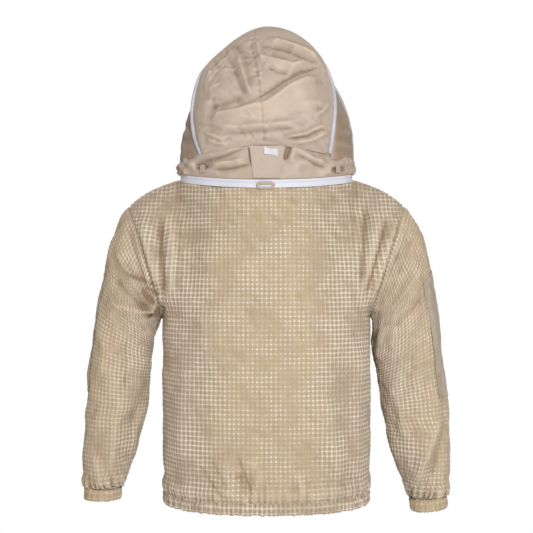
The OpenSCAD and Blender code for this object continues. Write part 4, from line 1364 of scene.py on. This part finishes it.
cotton = woven("cotton")
hood_back = stretched("hood_back", hood_back_grid(), cotton, "hood_back", 0.9, 2.0, hood_shade_and_highlight)
hood_gusset = stretched("hood_gusset", gusset_grid(), cotton, "hood_gusset", 0.9, 2.4, gusset_side_shade)
veil_coarse = veil(*np.meshgrid(np.linspace(0.985, 0.015, 121), np.linspace(0, 1, 61)))
veil_net = stretched("veil", veil_coarse, net_material(), "veil_mesh", 0.6, 6.0)
hood_skirt = looped_sheet("hood_skirt", skirt_grid(), "hood", cotton, "hood_skirt", 0.9,
                          SKIRT_CREASES)
rear_piping = piped("rear_piping", rear_arch, "rear_hoop_piping", True)
front_piping = piped("front_piping", front_arch, "front_hoop_piping", False)


# ---------- neck zip ----------
COIL_PITCH = 1.6


def ring_band(name, body, low, high):
    """One half of the neck zip's tape, a ribbed band round the neck from low to high."""
    phi = np.linspace(0, 360, 721)
    shape = 0.5 - 0.5 * np.abs(np.linspace(-1, 1, 9)) ** 6
    grid = np.array([neck_point(phi, up, 1.7 + 0.3 * s) for up, s in zip(np.linspace(low, high, 9), shape)])
    rib = 0.25 * np.sin(lengths(grid[4]) / 1.1)
    grid = grid + loop_normals(grid) * rib[None, :, None] * shape[:, None, None]
    grid[:, -1] = grid[:, 0]
    return looped_sheet(name, grid, body, woven("white_tape"), name, 1.0)


def ring_coil(name, body, up):
    """A nylon coil: one long tube whose bumps are its teeth."""
    line = neck_point(np.linspace(0, 360, 1801)[:-1], up, -0.6)
    run = lengths(line)
    teeth = 2 * np.pi * round(run[-1] / COIL_PITCH) / (run[-1] + run[1])
    points, faces, uv = tube(line, 1.15 + 0.15 * np.sin(run * teeth), 8, True)
    build(name, points, faces, body, plain("zip_coil"), uv, [name])


COIL_MID = (COIL_LO + COIL_HI) / 2
collar_tape = ring_band("collar_tape", "jacket", -TAPE_W - 3, -0.02)
hood_tape = ring_band("hood_tape", "hood", 0.02, COIL_HI + TAPE_W)
ring_coil("collar_coil", "jacket", -COIL_MID)
ring_coil("hood_coil", "hood", COIL_MID)


# ---------- front zip ----------
ZIP_Y = np.array([0, math.cos(ZIP_TILT), -math.sin(ZIP_TILT)])
ZIP_Z = np.array([0, math.sin(ZIP_TILT), math.cos(ZIP_TILT)])
FRONT_TAPE = (COIL_HI - 1.6, 13)  # how far the tape reaches from the zip's middle
TOOTH_PITCH = 2.0
# a tooth's wire from the tape to the zip's middle: how far out, how far forward, its radius
TOOTH_X, TOOTH_Y = np.array([3.9, 3.0, 1.4, 0.75]), np.array([0.1, -0.65, -0.75, -0.1])
TOOTH_R = np.array([0.4, 0.62, 0.7, 0.5])


def on_zip(x, y, z):
    """Points in the front zip's own frame, z up from its top and y into the jacket."""
    x, y, z = np.broadcast_arrays(np.asarray(x, float), y, z)
    return ZIP_TOP + x[..., None] * np.array([1.0, 0, 0]) + y[..., None] * ZIP_Y + z[..., None] * ZIP_Z


def zip_half(word, s):
    """The tape and the teeth at one side of the front zip, which are half a pitch from the other's."""
    z = np.linspace(-ZIP_LEN, 0, 300)
    x = np.linspace(*FRONT_TAPE, 7)
    xs = x if s > 0 else -x[::-1]
    wave = 0.15 * ripples(z, 0 * z, 26, 101)
    coarse = on_zip(xs[None], wave[:, None] * (np.abs(xs)[None] > 5), z[:, None])
    name = "front_tape_" + word
    tape = cotton_panel(name, coarse, "jacket", woven("white_tape"), [name], 1.1, 2.4)
    parts = []
    for k in range(int(ZIP_LEN / TOOTH_PITCH)):
        at = -ZIP_LEN + TOOTH_PITCH * (k + (0.5 if s > 0 else 0.0)) + 0.6
        parts.append(tube(on_zip(s * TOOTH_X, TOOTH_Y, np.full(4, at)), TOOTH_R, 6))
    points, faces, uv = joined(parts)
    node = "front_coil_" + word
    build("front_teeth_" + word, points, faces, "jacket", brass_material(), uv, [node])
    return tape


front_tape_left = zip_half("left", 1)
front_tape_right = zip_half("right", -1)


# ---------- pockets: each box is from th to th and from v to v on the body ----------
CHEST, HIP_LEFT = (-79, -57, 0.66, 0.80), (-77, -50, 0.035, 0.245)
HIP_RIGHT = (-180 - HIP_LEFT[1], -180 - HIP_LEFT[0], *HIP_LEFT[2:])
FLAP_V = 0.055
POCKET_OUT, FLAP_OUT = 3.3, 6.2


def body_patch(th0, th1, v0, v1, out, rows=40, lap=False):
    """A grid of points over a box of the body, out millimetres off its cloth."""
    th, v = np.meshgrid(np.linspace(th0, th1, 40), np.linspace(v0, v1, rows))
    p = body_point(th, v)
    amount = front_folds(p[..., 0], p[..., 2])
    if lap:  # a flap bridges the hollows, so that the pad under it stays hidden
        amount = np.maximum(amount, 0.4)
    return p + normals(p) * (amount + blouse(p[..., 2]) + out)[..., None]


def pocket(name, box):
    grid = body_patch(*box, POCKET_OUT)
    bag = cotton_panel(name, grid, "jacket", cotton, [name], 1.1, 3.0)
    seams = [grid[1:-1, 1], grid[1:-1, -2], grid[1, 1:-1], grid[-3, 1:-1]]
    sew(name + "_stitches", seams, "jacket", "cotton")
    return bag


def pocket_flap(name, box):
    th0, th1, _, v1 = box
    grid = body_patch(th0 - 0.6, th1 + 0.6, v1 - FLAP_V, v1 + 0.012, FLAP_OUT, 16, True)
    flap = cotton_panel(name, grid, name, cotton, [name], 1.1, 3.0)
    seams = [grid[1, 1:-1], grid[-2, 1:-1], grid[1:-1, 1], grid[1:-1, -2]]
    sew(name + "_stitches", seams, name, "cotton")
    return flap


chest_pocket = pocket("chest_pocket", CHEST)
hip_pocket_left = pocket("hip_pocket_left", HIP_LEFT)
hip_pocket_right = pocket("hip_pocket_right", HIP_RIGHT)
chest_flap = pocket_flap("chest_flap", CHEST)
hip_flap_left = pocket_flap("hip_flap_left", HIP_LEFT)
hip_flap_right = pocket_flap("hip_flap_right", HIP_RIGHT)


# ---------- small pieces at the back of the neck ----------
FLAP_TOP = np.array([-1.0, 128, 66])
FLAP_H, FLAP_HALF_W, FLAP_SPREAD = 66, 28, 8
LABEL_LEFT, LABEL_W, LABEL_H, LABEL_Z = 6, 28, 18, -12
LOOP_R, LOOP_HALF = 5.05, 11.2
TAB_HALF_W, TAB_H = 6, 17


def flat_piece(name, grid, body, node, thick, edge=2):
    """A small piece of cotton, sewn along its lower edge and both sides, edge points inside them."""
    piece = cotton_panel(name, grid, body, cotton, [node], thick, 1.6)
    seams = [grid[edge:-edge, edge], grid[edge:-edge, -edge - 1], grid[edge, edge:-edge]]
    sew(name + "_stitches", seams, body, "cotton", 2.6, 1.8, 0.26)
    return piece


def guard_grid():
    """A trapezium that hangs from FLAP_TOP and is wider at its top."""
    t, s = np.linspace(0, 1, 34)[:, None], np.linspace(-1, 1, 34)[None]
    y = 0.8 - 1.2 * (1 - t) + 0.7 * np.cos(3.1 * s + 4 * t)
    return FLAP_TOP + stack(-s * (FLAP_HALF_W + FLAP_SPREAD * t), y, -FLAP_H * (1 - t) + 0 * s)


def label_grid():
    """A small label on the guard flap, crumpled and shorter in its middle."""
    s, t = np.meshgrid(np.linspace(0, 1, 14), np.linspace(0, 1, 14))
    z = LABEL_Z + (t - 0.5) * (LABEL_H - 5 * np.sin(np.pi * s)) + 5 * (0.5 - s)
    return FLAP_TOP + stack(LABEL_LEFT - LABEL_W * s, 1.9 + 0.5 * np.sin(7 * s + 4 * t), z)


def neck_back(x, up, out):
    """Points about the middle of the neck's back: across, up along the zip and out of it."""
    n_up = np.array([0, math.sin(NECK_DROP), math.cos(NECK_DROP)])
    n_out = np.array([0, math.cos(NECK_DROP), -math.sin(NECK_DROP)])
    x, up, out = np.broadcast_arrays(np.asarray(x, float), up, out)
    return neck_point(90.0) + stack(x, 0, 0) + up[..., None] * n_up + out[..., None] * n_out


def hang_loop():
    """A rolled loop: a long ring with round ends."""
    a = np.linspace(0, 2 * np.pi, 97)[:-1]
    across = np.cos(a) * LOOP_R + np.sign(np.cos(a)) * LOOP_HALF
    line = neck_back(2 - across, np.sin(a) * LOOP_R - 5.5, 3.0)
    points, faces, uv = tube(line, 2.3 + 0.3 * np.sin(5 * a), 10, True, 1.3)
    build("hang_loop", points, faces, "jacket", cotton, uv, ["hang_loop"])


def side_tab(word, degrees):
    """A small tab sewn on the skirt, degrees round the neck."""
    base = skirt(np.array([float(degrees)]), np.array([0.34]))[0]
    a = math.radians(degrees)
    out, across = np.array([math.cos(a), math.sin(a), 0]), np.array([-math.sin(a), math.cos(a), 0])
    t, s = np.linspace(0, 1, 16)[:, None, None], np.linspace(-1, 1, 14)[None, :, None]
    grid = base + out * (2.2 + 0.6 * np.sin(3 * t)) + across * s * TAB_HALF_W
    grid = grid + np.array([0, 0, 1.0]) * (-8 + TAB_H * t)
    return flat_piece("side_tab_" + word, grid, "hood", "side_tab_" + word, 1.4, 1)


guard_flap = flat_piece("guard_flap", guard_grid(), "guard_flap", "back_guard_flap", 1.1)
label = cotton_panel("label", label_grid(), "guard_flap", woven("label"), ["care_label"], 0.5, 1.2)
hang_loop()
side_tab_left = side_tab("left", 57)
side_tab_right = side_tab("right", 128)

# ---------- CAD parts that stay ----------
for finish, kept in [
    (brass_material(), ["neck_slider_left", "neck_slider_right", "neck_pull_left", "neck_pull_right",
                        "front_slider", "front_pull", "front_zip_stops"]),
    (plain("hook_loop"), ["pocket_loop_pads"]),
    (woven("elastic"), ["hem_elastic", "cuff_elastic_left", "cuff_elastic_right"]),
    (plain("hoop_steel"), ["rear_hoop_stay", "front_hoop_stay"]),
]:
    for node in kept:
        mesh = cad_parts[node].data
        mesh.materials.clear()
        mesh.materials.append(finish)
